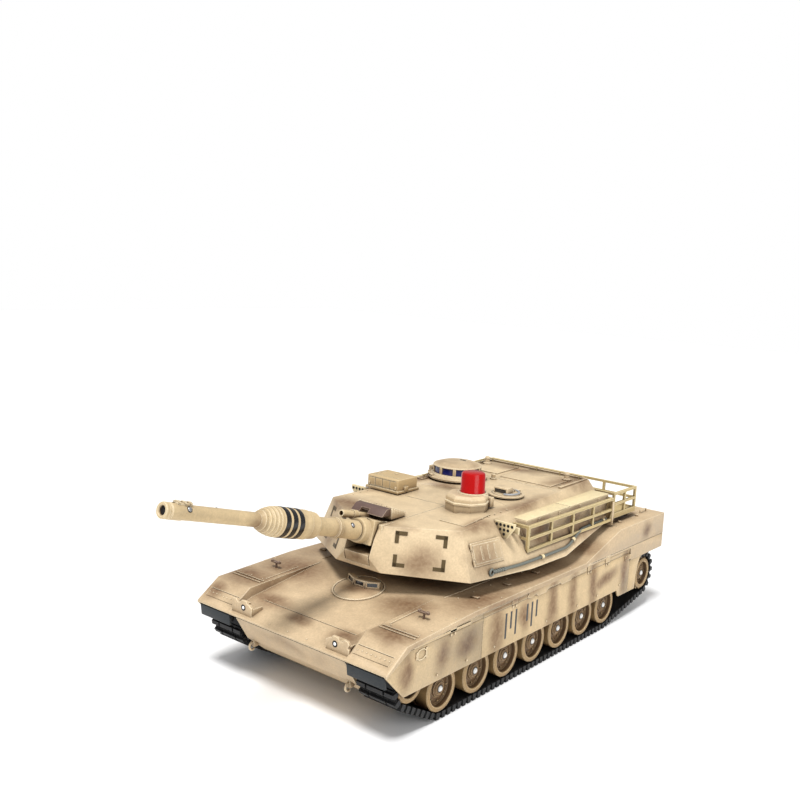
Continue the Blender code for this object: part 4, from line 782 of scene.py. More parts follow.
def markings():
    """Plain generic bars on the skirts, where a unit's number would be."""
    for label, side in SIDES:
        bars = []
        low, high = sorted((side * (SKIRT_FACE - 0.1), side * (SKIRT_FACE + 0.03)))
        for i, y in enumerate((111, 116.5, 122, 135, 140.5, 146)):
            foot = 31 + 5 * (i % 2)
            bars.append(block(hull(low, y, foot), hull(high, y + 1.9, 47), 0))
        piece(fused(bars), f"skirt_bars_{label}", "hull", MARKING)


def mud_flaps():
    """The rubber flaps at the hull's front corners."""
    for label, _ in SIDES:
        flap = node_copy(f"mud_flap_{label}", 0.4)
        piece(flap, f"rubber_flap_{label}", "hull", FLAP_RUBBER,
              replaces=[f"mud_flap_{label}"])


def bow_and_tail():
    """Tow hooks under the bow, and the tail's grille, lamps, hooks and towing eyes."""
    hooks = []
    for _, side in SIDES:
        x = side * 39
        hooks.append(block(hull(x - 1.2, 12.5, 20), hull(x + 1.2, 16.5, 25), 0.4))
        hooks.append(rod([hull(x, 12.4 + 2.4 * math.cos(a), 20.8 + 2.4 * math.sin(a))
                          for a in round_angles(60, 330, 30)], 0.7))
    piece(fused(hooks), "bow_tow_hooks", "hull", HULL_PAINT)
    grille = block(hull(-51.8, 328.4, 55.2), hull(51.8, 329.9, 70.8), 0.4)
    slots = [block(hull(-48 + 33 * k, 329.2, 57.2 + 2.6 * i), hull(-18 + 33 * k, 331, 58.6 + 2.6 * i), 0)
             for i in range(5) for k in range(3)]
    carve(grille, slots)
    piece(grille, "tail_grille", "hull", HULL_PAINT, replaces=["rear_grille"])
    back = []
    for _, side in SIDES:
        back.append(pin(2.3, 70.6 * side, 75.8 * side, hull(0, 327.4, 69.2), 0, 24))
        back.append(block(hull(side * 64 - 5, 328.4, 58), hull(side * 64 + 5, 329.9, 66), 0.4))
        back.append(block(hull(side * 30 - 2, 326.0, 47.6), hull(side * 30 + 2, 329.9, 52.6), 0.4))
    piece(fused(back), "tail_fittings", "hull", HULL_PAINT)
    lamps = [pin(1.7, 0, 0.9, hull(side * 64, 329.1, 62), 1, 20) for _, side in SIDES]
    piece(fused(lamps), "tail_lamps", "hull", RED_CORE)


def engine_deck():
    """Louvred panels, filler caps and grab handles on the raised rear deck."""
    parts = []
    for side in (-1, 1):
        for x0 in (8, 31):
            low, high = sorted((side * x0, side * (x0 + 19)))
            for i in range(9):
                y = 276 + i * 4.6
                parts.append(block(hull(low, y, 71.2), hull(high, y + 2.4, 72.3), 0.25))
        for y in (270, 298):
            parts.append(block(hull(side * 58 - 3, y, 71.4), hull(side * 58 + 3, y + 7, 72.6)))
            parts.append(pin(1.2, -0.5, 1.1, hull(side * 66, y + 4, 71.9)))
        parts.append(rod([hull(side * 64, 312, 71.5), hull(side * 64, 312, 74), hull(side * 64, 322, 74),
                          hull(side * 64, 322, 71.5)], 0.5))
    parts.append(pin(3.6, -0.5, 1.2, hull(0, 268, 71.9)))
    piece(fused(parts), "engine_deck_louvres", "hull", HULL_PAINT)
    bolts = []
    for side in (-1, 1):
        for y in (88, 104, 122, 140, 158, 176, 194):
            bolts.append(laid_on(rivet(0.6), GLACIS, side * 56, y))
        for y in (96, 130, 164):
            bolts.append(laid_on(block((-2.2, -1.4, -0.2), (2.2, 1.4, 1.2)), GLACIS, side * 63, y))
    piece(fused(bolts), "deck_bolts", "hull", HULL_PAINT)


# --------------------------------------------------------- running gear

def place_wheel(mesh_piece, centre, side):
    """Move a wheel modelled round the origin, outer face at +X, to its axle."""
    turn = Matrix.Identity(4) if side > 0 else Matrix.Rotation(math.pi, 4, "Z")
    mesh_piece.data.transform(Matrix.Translation(centre) @ turn)
    return mesh_piece


def paint_faces(obj, rule, materials):
    """Give each face the material that the rule picks from its middle."""
    obj.data.materials.clear()
    for material in materials:
        obj.data.materials.append(material)
    for face in obj.data.polygons:
        face.material_index = rule(face.center)
    return obj


def wheel_shape(radius, width, spokes=0):
    """A wheel with a flat sand rim, a dished brown disc and a stepped hub."""
    w, r = width, radius
    profile = [(1.2, 0), (r - 1.0, 0), (r, 0.6), (r, w / 2 - 1.2), (r - 2.4, w / 2 - 0.8),
               (r - 2.4, w / 2 + 0.8), (r, w / 2 + 1.2), (r, w - 0.7), (r - 0.5, w - 0.15), (r - 1.0, w),
               (r - 2.5, w), (r - 2.9, w - 0.5), (r - 3.3, w - 3.0), (r - 4.2, w - 3.6), (5.4, w - 3.0),
               (5.0, w - 2.2), (3.8, w - 2.0), (3.5, w - 1.4), (2.3, w - 1.2), (2.3, w - 2.4),
               (1.2, w - 2.4)]
    obj = turned([(a, (b - w)) for a, b in profile], ORIGIN, 0, 40, 28)
    inner = (r - 2.95) * MM

    def rule(middle):
        reach = math.hypot(middle.y, middle.z)
        return 1 if reach < inner and middle.x > -4.2 * MM else 0
    return paint_faces(obj, rule, [RIM_SAND, WHEEL_BROWN_AND_FLOOR_SHADE])


def hub_pin():
    """A bright pin in a ring of painted shade at the middle of a wheel."""
    white = turned([(0, -2.5), (1.75, -2.5), (1.75, -0.9), (1.2, -0.35), (0, -0.2)], ORIGIN, 0, 20)
    white.data.materials.append(HUB_WHITE)
    ring = turned([(1.85, -2.5), (2.35, -2.5), (2.35, -1.1), (1.85, -1.1)], ORIGIN, 0, 20)
    ring.data.materials.append(HOLE_SHADE)
    return fused([white, ring])


def disc_bolts(reach, count):
    """A ring of bolt heads on a wheel's disc."""
    heads = []
    for i in range(count):
        angle = 2 * math.pi * i / count
        head = pin(0.55, -3.6, -2.5, (0, reach * math.cos(angle), reach * math.sin(angle)), 0, 8)
        head.data.materials.append(WHEEL_BROWN_AND_FLOOR_SHADE)
        heads.append(head)
    return heads


def running_gear():
    """The road wheels, idlers and toothed sprockets, and the gear on each sprocket."""
    road_low, road_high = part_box("road_wheel_left_1")
    width = (road_high.x - road_low.x) / MM
    road = fused([wheel_shape(13.2, width), hub_pin()] + disc_bolts(7.6, 8))
    idler = fused([wheel_shape(11.0, width), hub_pin()] + disc_bolts(6.6, 6))
    teeth = []
    for i in range(12):
        tooth = block((-width + 1.5, 11.2, -1.1), (-1.5, 12.7, 1.1), 0.3)
        tooth.data.transform(Matrix.Rotation(2 * math.pi * i / 12, 4, "X"))
        tooth.data.materials.append(RIM_SAND)
        teeth.append(tooth)
    sprocket = fused([wheel_shape(11.6, width), hub_pin()] + disc_bolts(7.0, 6) + teeth)
    outer = road_high.x
    for label, side in SIDES:
        for i in range(WHEELS):
            name = f"road_wheel_{label}_{i + 1}"
            centre = Vector(JOINTS[f"{name}_spin"]["pos_m"])
            centre.x = side * outer
            turned_by = Matrix.Rotation(0.7 * i, 4, "X")
            wheel = place_wheel(copy_at(road, turn=turned_by), centre, side)
            piece(wheel, f"wheel_{label}_{i + 1}", name, RIM_SAND, [name], 28)
        for name, model in ((f"idler_{label}", idler), (f"sprocket_{label}", sprocket)):
            centre = Vector(JOINTS[f"{name}_spin"]["pos_m"])
            centre.x = side * outer
            wheel = place_wheel(copy_at(model), centre, side)
            if name.startswith("sprocket"):
                gear_low, gear_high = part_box(name)
                inner = min(abs(gear_low.x), abs(gear_high.x)) / MM
                axle = Vector((0, centre.y, centre.z))
                shaft = pin(2, side * inner, side * (outer / MM - 6), axle, 0, 16)
                gear = turned([(0, side * inner), (12, side * inner), (12, side * (inner + 3)),
                               (0, side * (inner + 3))], axle, 0, 32)
                for made in (shaft, gear):
                    made.data.materials.append(BLACK_PLASTIC)
                wheel = fused([wheel, shaft, gear])
            piece(wheel, f"{name}_wheel", name, RIM_SAND, [name], 28)
    for model in (road, idler, sprocket):
        bpy.data.objects.remove(model, do_unlink=True)


def belt_points(circles, margin, spacing):
    """Evenly spaced (y, z, heading) places on a belt round circles (y, z, radius)."""
    path = []
    count = len(circles)
    leaving = []
    for i, (y, z, r) in enumerate(circles):
        y2, z2, r2 = circles[(i + 1) % count]
        heading = math.atan2(z2 - z, y2 - y)
        leaving.append(heading - math.acos((r - r2) / math.hypot(y2 - y, z2 - z)))
    for i, (y, z, r) in enumerate(circles):
        start, end = leaving[i - 1], leaving[i]
        while end < start:
            end += 2 * math.pi
        steps = max(2, int((end - start) / 0.05))
        for k in range(steps + 1):
            angle = start + (end - start) * k / steps
            path.append(Vector((y + (r + margin) * math.cos(angle), z + (r + margin) * math.sin(angle))))
    path.append(path[0])
    lengths = [(b - a).length for a, b in zip(path, path[1:])]
    links = round(sum(lengths) / spacing)
    step = sum(lengths) / links
    places, walked, target = [], 0.0, 0.0
    for (a, b), length in zip(zip(path, path[1:]), lengths):
        while target < walked + length and len(places) < links:
            point = a.lerp(b, (target - walked) / length)
            places.append((point.x, point.y, math.atan2(b.y - a.y, b.x - a.x)))
            target += step
        walked += length
    return places, step


def track_link(step, width):
    """One link at the origin, running along +Y, its outer side down."""
    half, depth = width / 2, LINK_DEPTH
    parts = [block((-half * 0.94, -step * 0.52, -depth * 0.58), (half * 0.94, step * 0.52, -depth * 0.16),
                   0)]
    for x0, x1 in ((-0.985, -0.52), (-0.42, 0.42), (0.52, 0.985)):
        parts.append(block((half * x0, -step * 0.26, -depth * 0.99),
                           (half * x1, step * 0.26, -depth * 0.55), 0))
    for x0, x1 in ((-half, -half + 1.2), (half - 1.2, half)):
        parts.append(block((x0 * 0.99, -step * 0.30, -depth * 0.80),
                           (x1 * 0.99, step * 0.30, -depth * 0.02), 0))
    return fused(parts)


def tracks():
    """A belt of separate links round each side."""
    for label, _ in SIDES:
        low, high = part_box(f"track_{label}")
        circles = []
        for name, radius in ((f"idler_{label}", 11.0), (f"road_wheel_{label}_1", 13.2),
                             (f"road_wheel_{label}_{WHEELS}", 13.2), (f"sprocket_{label}", 12.8)):
            _, y, z = JOINTS[f"{name}_spin"]["pos_m"]
            circles.append((y, z, radius * MM))
        places, step = belt_points(circles, TRACK_CLEARANCE * MM, LINK_PITCH * MM)
        middle = (low.x + high.x) / 2
        link = track_link(step / MM, (high.x - low.x) / MM)
        links = []
        for y, z, heading in places:
            turn = Matrix.Rotation(heading, 4, "X")
            links.append(copy_at(link, (middle, y, z), turn))
        bpy.data.objects.remove(link, do_unlink=True)
        piece(fused(links), f"track_belt_{label}", "hull", TRACK_RUBBER, [f"track_{label}"],
              30)


# ---------------------------------------------------------------- turret

ROOF = [(-83.5, 29.4), (-57.7, 30.4), (0, 32.5), (114, 35)]


def roof(x, y, lift=0.0):
    """A place on the turret's roof, at turret (x, y)."""
    return turret(x, y, height_on(ROOF, y) + lift)


def turret_shell():
    """The turret, with engraved lines on its roof."""
    shell = node_copy("turret_shell", 0.5)
    lines = []
    for x0, y0, x1, y1 in ((-44, -20, 12, -20), (12, -60, 12, 20), (-44, 66, 44, 66), (-4, 66, -4, 112),
                           (12, 20, 42, 8), (-44, 8, -12, 20)):
        start, end = roof(x0, y0), roof(x1, y1)
        way = end - start
        slit = block((0, -0.2, -0.6), (way.length / MM, 0.2, 0.8), 0)
        slit.data.transform(Matrix.Translation(start) @ way.to_track_quat("X", "Z").to_matrix().to_4x4())
        lines.append(slit)
    carve(shell, lines)
    piece(shell, "turret_body", "turret", TURRET_PAINT, replaces=["turret_shell"])


def corner_marks():
    """Four corner brackets stencilled on each cheek."""
    front, rear = Vector((18.1, -90.0, 2.9)), Vector((63.6, -61.2, 1.5))
    top = Vector((52.7, -57.7, 30.4))
    along = (rear - front).normalized()
    out = along.cross(top - rear).normalized()
    if out.y > 0:
        out = -out
    up = out.cross(along)
    if up.z < 0:
        up = -up
    origin = front.lerp(rear, 0.414) + up * 15.4
    for label, side in SIDES:
        marks = []
        for sa in (-1, 1):
            for su in (-1, 1):
                corner = origin + along * (sa * 15.7) + up * (su * 10.6)
                for wide, tall in ((7.2, 2.3), (2.3, 7.2)):
                    middle = corner - along * (sa * wide / 2) - up * (su * tall / 2)
                    bar = block((-wide / 2, -0.05, -tall / 2), (wide / 2, 0.05, tall / 2), 0)
                    basis = Matrix((along, -out, up)).transposed().to_4x4()
                    bar.data.transform(Matrix.Translation(TURRET_AXIS + middle * MM) @ basis)
                    marks.append(bar)
        mark = fused(marks)
        if side < 0:
            mark.data.transform(Matrix.Diagonal((-1, 1, 1, 1)))
            close_up(mark)
        piece(mark, f"cheek_corner_marks_{label}", "turret", STENCIL)


def top_bolts(spots, size=0.6):
    """Bolt heads on the turret's roof at turret (x, y) places."""
    heads = []
    for x, y in spots:
        head = rivet(size)
        head.data.transform(Matrix.Translation(roof(x, y)))
        heads.append(head)
    return heads


def roof_slab(outline, rise, edge=0.3, body_low=-0.6):
    """A plate following the roof's slope, from turret (x, y) points."""
    slab = cut_sheet(outline, 2, body_low, rise, edge)
    for vertex in slab.data.vertices:
        vertex.co += TURRET_AXIS + Vector((0, 0, height_on(ROOF, vertex.co.y / MM) * MM))
    return slab


def roof_details():
    """Mantlet cover, raised rear lip, bolts, rails, small posts and the panels of the roof."""
    shift = -3.6
    dark = cut_sheet([(-80.2, 33.3), (-75.6, 37.4), (-71.8, 37.7), (-71.8, 32.6), (-76, 33.3)], 0,
                     shift - 12.8, shift + 12.8, 0.35, at=TURRET_AXIS)
    top = cut_sheet([(-72.2, 30.8), (-72.2, 37.2), (-70.8, 37.6), (-58.6, 33.2), (-58.6, 30.8)], 0,
                    shift - 13.8, shift + 13.8, 0.35, at=TURRET_AXIS)
    carve(dark, [block(turret(-9.6, -82, 29), turret(-3.0, -77.2, 36.0), 0.3),
                 block(turret(-9.6, -79, 29), turret(-3.0, -74.6, 34.6), 0.3)])
    piece(dark, "mantlet_cover_lip", "turret", COVER_PAINT)
    cover = [top]
    for i in range(6):
        for side in (-1, 1):
            y = -71.2 + i * 2.3
            z = 37.5 - i * 0.83
            x = shift + side * 13.1
            cover.append(block(turret(x - 0.9, y - 0.7, z - 2.4), turret(x + 0.9, y + 0.7, z + 0.7), 0.3))
        x = shift - 10.5 + i * 4.2
        cover.append(block(turret(x - 0.8, -60.4, 31), turret(x + 0.8, -58.4, 34.4), 0.3))
    piece(fused(cover), "mantlet_cover_plate", "turret", TURRET_PAINT)
    lip = []
    for x0, y0, x1, y1 in ((-43, 110.5, 43, 112.6), (41, 74, 43.2, 112), (-43.2, 74, -41, 112)):
        lip.append(roof_slab([(x0, y0), (x1, y0), (x1, y1), (x0, y1)], 1.1, 0.25))
    lip.append(roof_slab([(-40, 22), (-44.6, 22), (-44.6, 70), (-40, 70)], 0.5, 0.2))
    lip.append(roof_slab([(30, -50), (49, -50), (46, -18), (30, -18)], 0.45, 0.2))
    lip.append(roof_slab([(-6, 72), (36, 72), (36, 104), (-6, 104)], 0.45, 0.2))
    lip.append(roof_slab([(-36, 76), (-12, 76), (-12, 106), (-36, 106)], 0.7, 0.2))
    piece(fused(lip), "roof_panels", "turret", TURRET_PAINT)
    spots = [(47 - 0.02 * y, y) for y in range(-50, 0, 7)] + [(-47 + 0.02 * y, y) for y in range(-50, 0, 7)]
    spots += [(x, -54) for x in range(-30, 0, 6)] + [(x, 69) for x in range(-36, 40, 9)]
    spots += [(38, y) for y in range(76, 110, 6)] + [(-38, y) for y in range(76, 110, 6)]
    piece(fused(top_bolts(spots, 0.5)), "roof_bolts", "turret", TURRET_PAINT)
    rail = []
    far = [roof(-41.5, y, 2.6) for y in (24, 106)]
    rail.append(rod(far, 0.55))
    rail.append(rod([roof(x, 108.6, 2.6) for x in (-41.5, 41.5)], 0.55))
    for y in (26, 46, 66, 86, 104):
        rail.append(rod([roof(-41.5, y, -0.3), roof(-41.5, y, 2.7)], 0.5))
    for x in (-38, -18, 2, 22, 38):
        rail.append(rod([roof(x, 108.6, -0.3), roof(x, 108.6, 2.7)], 0.5))
    piece(fused(rail), "roof_rails", "turret", RACK_PLASTIC)
    posts = []
    for x, y in ((-36, 98), (34, 98)):
        seat = roof(x, y)
        posts.append(turned([(0, -0.4), (3.2, -0.4), (3.2, 1.2), (2.2, 1.8), (1.7, 4.4), (2.1, 4.8),
                             (1.5, 6.2), (0, 6.4)], seat, 2, 20))
    post = roof(-6, 62)
    posts.append(pin(1.5, -0.4, 3.6, post))
    posts.append(pin(2.4, -0.4, 0.8, post))
    piece(fused(posts), "aerial_bases", "turret", TURRET_PAINT)


def sight():
    """The gunner's sight: a box with two doors, a foot, hinges and a bracket at each side."""
    (x0, y0, z0), (x1, y1, z1) = box_mm("sight_box")
    case = block((x0, y0, z0), (x1, y1, z1), 0.7, 3)
    cuts = []
    for share in (0.26, 0.5, 0.74):
        x = x0 + (x1 - x0) * share
        cuts.append(block((x - 0.22, y0 - 1, z0 + 1), (x + 0.22, y0 + 0.7, z1 - 1), 0))
    for share in (0.18, 0.84):
        z = z0 + (z1 - z0) * share
        cuts.append(block((x0 + 1.6, y0 - 1, z - 0.2), (x1 - 1.6, y0 + 0.6, z + 0.2), 0))
    for x, y in ((x0 + 3.4, y1 - 3), (x1 - 3, y0 + 4.4)):
        cuts.append(block((x0 + 3, y0 + 4, z1 - 0.5), (x, y, z1 + 1), 0))
    carve(case, cuts)
    parts = [case, block((x0 - 1, y0 - 1, z0 - 0.9), (x1 + 1, y1 + 1, z0 + 0.9), 0.3),
             block((x0 - 1.8, y0 + 5, z0), (x0 + 0.5, y0 + 12, z0 + 5.6), 0.3),
             block((x1 - 0.5, y0 + 6, z0), (x1 + 1.4, y0 + 10, z0 + 3.4), 0.3),
             pin(1.6, 0, 0.9, ((x0 + x1) / 2, y1 - 6, z1 - 0.3))]
    parts += [pin(0.7, 0, 2, (x0 + (x1 - x0) * share, y0 - 0.05, z0 + 1.6), 2, 10)
              for share in (0.07, 0.93)]
    piece(fused(parts), "sight_housing", "turret", SIGHT_PAINT, replaces=["sight_box"])


def cupola():
    """The commander's cupola: stepped ring, blue windows between posts, dome and fittings."""
    centre = seat_of("cupola")
    ring = [(12, 0), (21.5, 0), (21.5, 1.1), (20.8, 1.6), (19.4, 1.8), (19.0, 2.6), (18.2, 2.8),
            (17.9, 3.4), (14.9, 3.4), (14.9, 8.2), (17.6, 8.2), (17.8, 8.6), (17.2, 9.2), (14.6, 9.5),
            (14.0, 9.8), (12.6, 10.7), (9.5, 11), (0, 11), (0, 9), (12, 9)]
    parts = [turned(ring, centre, 2, 64, 28)]
    for i in range(10):
        angle = 2 * math.pi * (i + 0.3) / 10
        post = block((14.5, -1.1, 3.2), (17.6, 1.1, 8.6), 0.3)
        post.data.transform(Matrix.Translation(centre) @ Matrix.Rotation(angle, 4, "Z"))
        parts.append(post)
    for i in range(6):
        angle = math.radians(150 + 18 * i)
        flap = block((17.8, -2.4, 1.6), (21.4, 2.4, 2.8), 0.3)
        flap.data.transform(Matrix.Translation(centre) @ Matrix.Rotation(angle, 4, "Z"))
        parts.append(flap)
    bracket = [block((-22.6, -4.5, 0.6), (-17.2, -0.5, 5.0), 0.3), pin(1.0, -1.0, 7.0, (-20, -3, 4.6), 1),
               block((-3, 5, 10.2), (3, 8, 11), 0.25)]
    shifted(bracket, centre)
    piece(fused(parts + bracket), "commander_cupola", "turret", TURRET_PAINT, replaces=["cupola"])
    glass = turned([(14.3, 3.2), (16.8, 3.2), (16.8, 8.4), (14.3, 8.4)], centre, 2, 32, 20)
    piece(glass, "cupola_blue_windows", "turret", BLUE_GLASS, replaces=["cupola_windows"])


def beacon():
    """The red beacon on its eight-sided base with a raised ridge."""
    centre, lens_centre = seat_of("beacon_base"), seat_of("beacon_lens")
    lens_centre.z = centre.z
    base = [(0, -2.4), (14.1, -2.4), (14.1, 7.0), (13.1, 8.4), (12.4, 9), (0, 9)]
    body = turned(base, centre, 2, 8, 20)
    round_edges(body, 0.35, 2, 25)
    carve(body, [pin(8.6, 6, 12, lens_centre, 2, 40, 0)])
    step = block((-12.0, 9.4, 0), (12.0, 13.4, 6.4), 0.5)
    ridge = turned([(13.9, 3.2), (14.7, 3.5), (14.7, 4.4), (13.9, 4.8)], centre, 2, 8, 20)
    collar = turned([(8.4, 5), (9.6, 5), (9.6, 9.2), (9.2, 9.7), (8.4, 9.7)], lens_centre, 2, 40)
    shifted([step], centre)
    piece(fused([body, step, ridge, collar]), "beacon_seat", "turret", TURRET_PAINT,
          replaces=["beacon_base"])
    shell = [(0, 6.4), (8.1, 6.4), (8.1, 10.2), (7.9, 10.6), (7.75, 21.2), (7.2, 22.1), (6.2, 22.5),
             (0, 22.5)]
    piece(turned(shell, lens_centre, 2, 48), "beacon_red_cover", "turret", RED_LENS,
          replaces=["beacon_lens"])


def loader_hatch():
    """The loader's round hatch with its viewing block and rail."""
    centre = seat_of("loader_hatch")
    cover = [(0, 0), (12, 0), (12, 0.9), (11.4, 1.2), (10.4, 1.2), (10.1, 0.8), (9.5, 0.8), (9.2, 1.5),
             (7.5, 2.0), (0, 2.2)]
    body = turned(cover, centre, 2, 48, 28)
    scope = block((-6, -7, 1), (5, 0.5, 6), 0.5)
    carve(scope, [block((-5, -8, 2.2), (4, -6.2, 4.9), 0)])
    slot_glass = block((-5, -6.7, 2.2), (4, -6.3, 4.9), 0)
    hinge = block((-4, 9, 0.4), (4, 11.8, 2.6), 0.4)
    handle = rod([(-3, 4, 1.8), (-3, 4, 3.6), (4, 4, 3.6), (4, 4, 1.8)], 0.45)
    shifted([scope, slot_glass, hinge, handle], centre)
    piece(fused([body, scope, hinge, handle]), "loader_hatch_cover", "turret", TURRET_PAINT,
          replaces=["loader_hatch"])
    piece(slot_glass, "loader_scope_slot", "turret", DARK_GLASS)
    ring = rod([centre + Vector((8.6 * math.cos(a), 8.6 * math.sin(a), 2.0)) * MM
                for a in round_angles(-70, 120, 10)], 0.75, 3)
    piece(ring, "loader_ring_rail", "turret", GREY_RING)


def stowage():
    """Cream lids, raised panels and latches on the boxes, and the rails round them."""
    for label, side in SIDES:
        lids, latches = [], []
        low, high = sorted((side * 42.0, side * 62.4))
        lids.append(block(turret(low, -0.8, 27.0), turret(high, 53.6, 28.7), 0.4))
        lids.append(block(turret(low, 54.4, 27.0), turret(high, 109.8, 28.7), 0.4))
        piece(fused(lids), f"box_lids_{label}", "turret", CREAM_PAINT)
        low, high = sorted((side * 62.2, side * 62.75))
        for y0, y1 in ((2, 26), (29, 52), (56, 80), (83, 107)):
            latches.append(block(turret(low, y0, 12), turret(high, y1, 24), 0.2))
        low, high = sorted((side * 62.3, side * 63.1))
        for y in (14, 40, 68, 95):
            latches.append(block(turret(low, y - 1.4, 22.5), turret(high, y + 1.4, 27.8), 0.2))
        piece(fused(latches), f"box_panels_{label}", "turret", TURRET_PAINT)
        rack = node_copy(f"side_rack_{label}", 0)
        piece(rack, f"rack_rails_{label}", "turret", RACK_PLASTIC, [f"side_rack_{label}"])
        ends = []
        low, high = sorted((side * 62.9, side * 68.2))
        ends.append(block(turret(low, 107.2, 6.5), turret(high, 109.0, 23.5), 0.35))
        carve(ends[0], [pin(1.8, -3, 3, turret(side * 65.6, 108, 18), 1)])
        piece(fused(ends), f"rack_end_plate_{label}", "turret", TURRET_PAINT)
        smoke_launcher(label, side)
        side_fittings(label, side)
    basket = node_copy("bustle_rack", 0)
    piece(basket, "basket_rails", "turret", RACK_PLASTIC, ["bustle_rack"])


def smoke_launcher(label, side):
    """A triangular plate with rows of tube mouths, five, three and one, drawn as near-black discs of painted
    shade.
    """
    low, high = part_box(f"smoke_launcher_{label}")
    corner = Vector(((low.x + high.x) / 2, low.y, low.z))
    half, tall = (high.x - low.x) / 2 / MM, (high.z - low.z) / MM
    plate = cut_sheet([(-half, tall), (half, tall), (half, tall - 2.6), (2.2, 0), (-2.2, 0),
                       (-half, tall - 2.6)], 1, 0, 1.8, 0.3, at=corner)
    # The tube mouths are near-black discs: painted shade.
    holes = []
    for drop, offsets in ((2.0, (-5.6, -2.8, 0, 2.8, 5.6)), (4.9, (-2.8, 0, 2.8)), (7.6, (0,))):
        for x in offsets:
            holes.append(pin(0.95, -0.12, 0.5, corner + spot((x, 0, tall - drop)), 1, 14, 0.02))
    backing = block((-3, 1.5, 2.0), (3, 3.8, tall - 1.2))
    shifted([backing], corner)
    inner, outer = sorted((side * 57.5, side * 64.5))
    foot = (low.z - TURRET_AXIS.z) / MM
    arm = block(turret(inner, -13.2, foot + 1), turret(outer, -11.6, foot + 5.2))
    piece(fused([plate, arm, backing]), f"smoke_plate_{label}", "turret", CREAM_PAINT,
          replaces=[f"smoke_launcher_{label}"])
    piece(fused(holes), f"smoke_tube_shade_{label}", "turret", HOLE_SHADE)


def shell_tree():
    """The turret's CAD surface, for finding places on it."""
    mesh = frame["nodes"]["turret_shell"].data
    return BVHTree.FromPolygons([v.co for v in mesh.vertices], [f.vertices for f in mesh.polygons])


SHELL_TREE = shell_tree()


def on_shell(side, y, z):
    """The place and the normal of the turret's side at turret (y, z)."""
    place, normal, _, _ = SHELL_TREE.ray_cast(turret(side * 90, y, z), Vector((-side, 0, 0)))
    return place, normal


def side_fittings(label, side):
    """The cable along the lower flange, the side door with its hinges, and the clips."""
    points = []
    for i in range(25):
        y = -41 + i * 6.0
        rise = min(1, max(0, (y - 36) / 34))
        place, normal = on_shell(side, y, 4.4 + 6.6 * rise * rise * (3 - 2 * rise))
        points.append(place + normal * 0.9 * MM)
    way = points[0] - points[1]
    eye = points[0] + way * 0.25
    rings = [rod([eye + Vector((0, math.cos(a) * 1.9, math.sin(a) * 1.9)) * MM
                  for a in round_angles(0, 360, 30)], 0.7, 3, True)]
    for k in range(5):
        start = points[0] - way * (0.15 + 0.35 * k)
        rings.append(rod([start, start - way * 0.2], 1.3, 4))
    piece(fused([rod(points, 0.95, 3)] + rings), f"tow_cable_{label}", "turret", CABLE_GREY,
          angle=60)
    clips = [rod([points[i], points[i].lerp(points[i + 1], 0.4)], 1.5, 4) for i in (8, 15, 23)]
    piece(fused(clips), f"cable_clips_{label}", "turret", CREAM_PAINT)
    place, normal = on_shell(side, -41.5, 16)
    along = Vector((0, 0, 1)).cross(normal).normalized()
    basis = Matrix((along, normal, along.cross(normal) * -1)).transposed().to_4x4()
    door = [block((-13.5, -0.5, -7.2), (13.5, 0.6, 7.2)), block((-11.9, 0.3, -5.6), (11.9, 0.95, 5.6), 0.3)]
    for x in (-5, 1, 7):
        door.append(block((x - 0.5, 0, -4), (x + 0.5, 1.2, 4), 0.15))
    for z in (-5, 5):
        door.append(pin(0.8, z - 1.8, z + 1.8, (-13.5, 0.9, 0), 2, 12))
    for made in door:
        made.data.transform(Matrix.Translation(place) @ basis)
    door = fused(door)
    close_up(door)
    piece(door, f"side_door_{label}", "turret", TURRET_PAINT)


# ------------------------------------------------------------------- gun

def gun_turned(profile, segments=48, angle=30):
    """A profile of (radius, distance forward of the trunnion) in millimetres."""
    return on_gun(turned([(r, -t) for r, t in profile], ORIGIN, 1, segments, angle))


def from_muzzle(distance):
    """The distance forward of the trunnion, from the distance behind the muzzle."""
    return 164.6 - distance


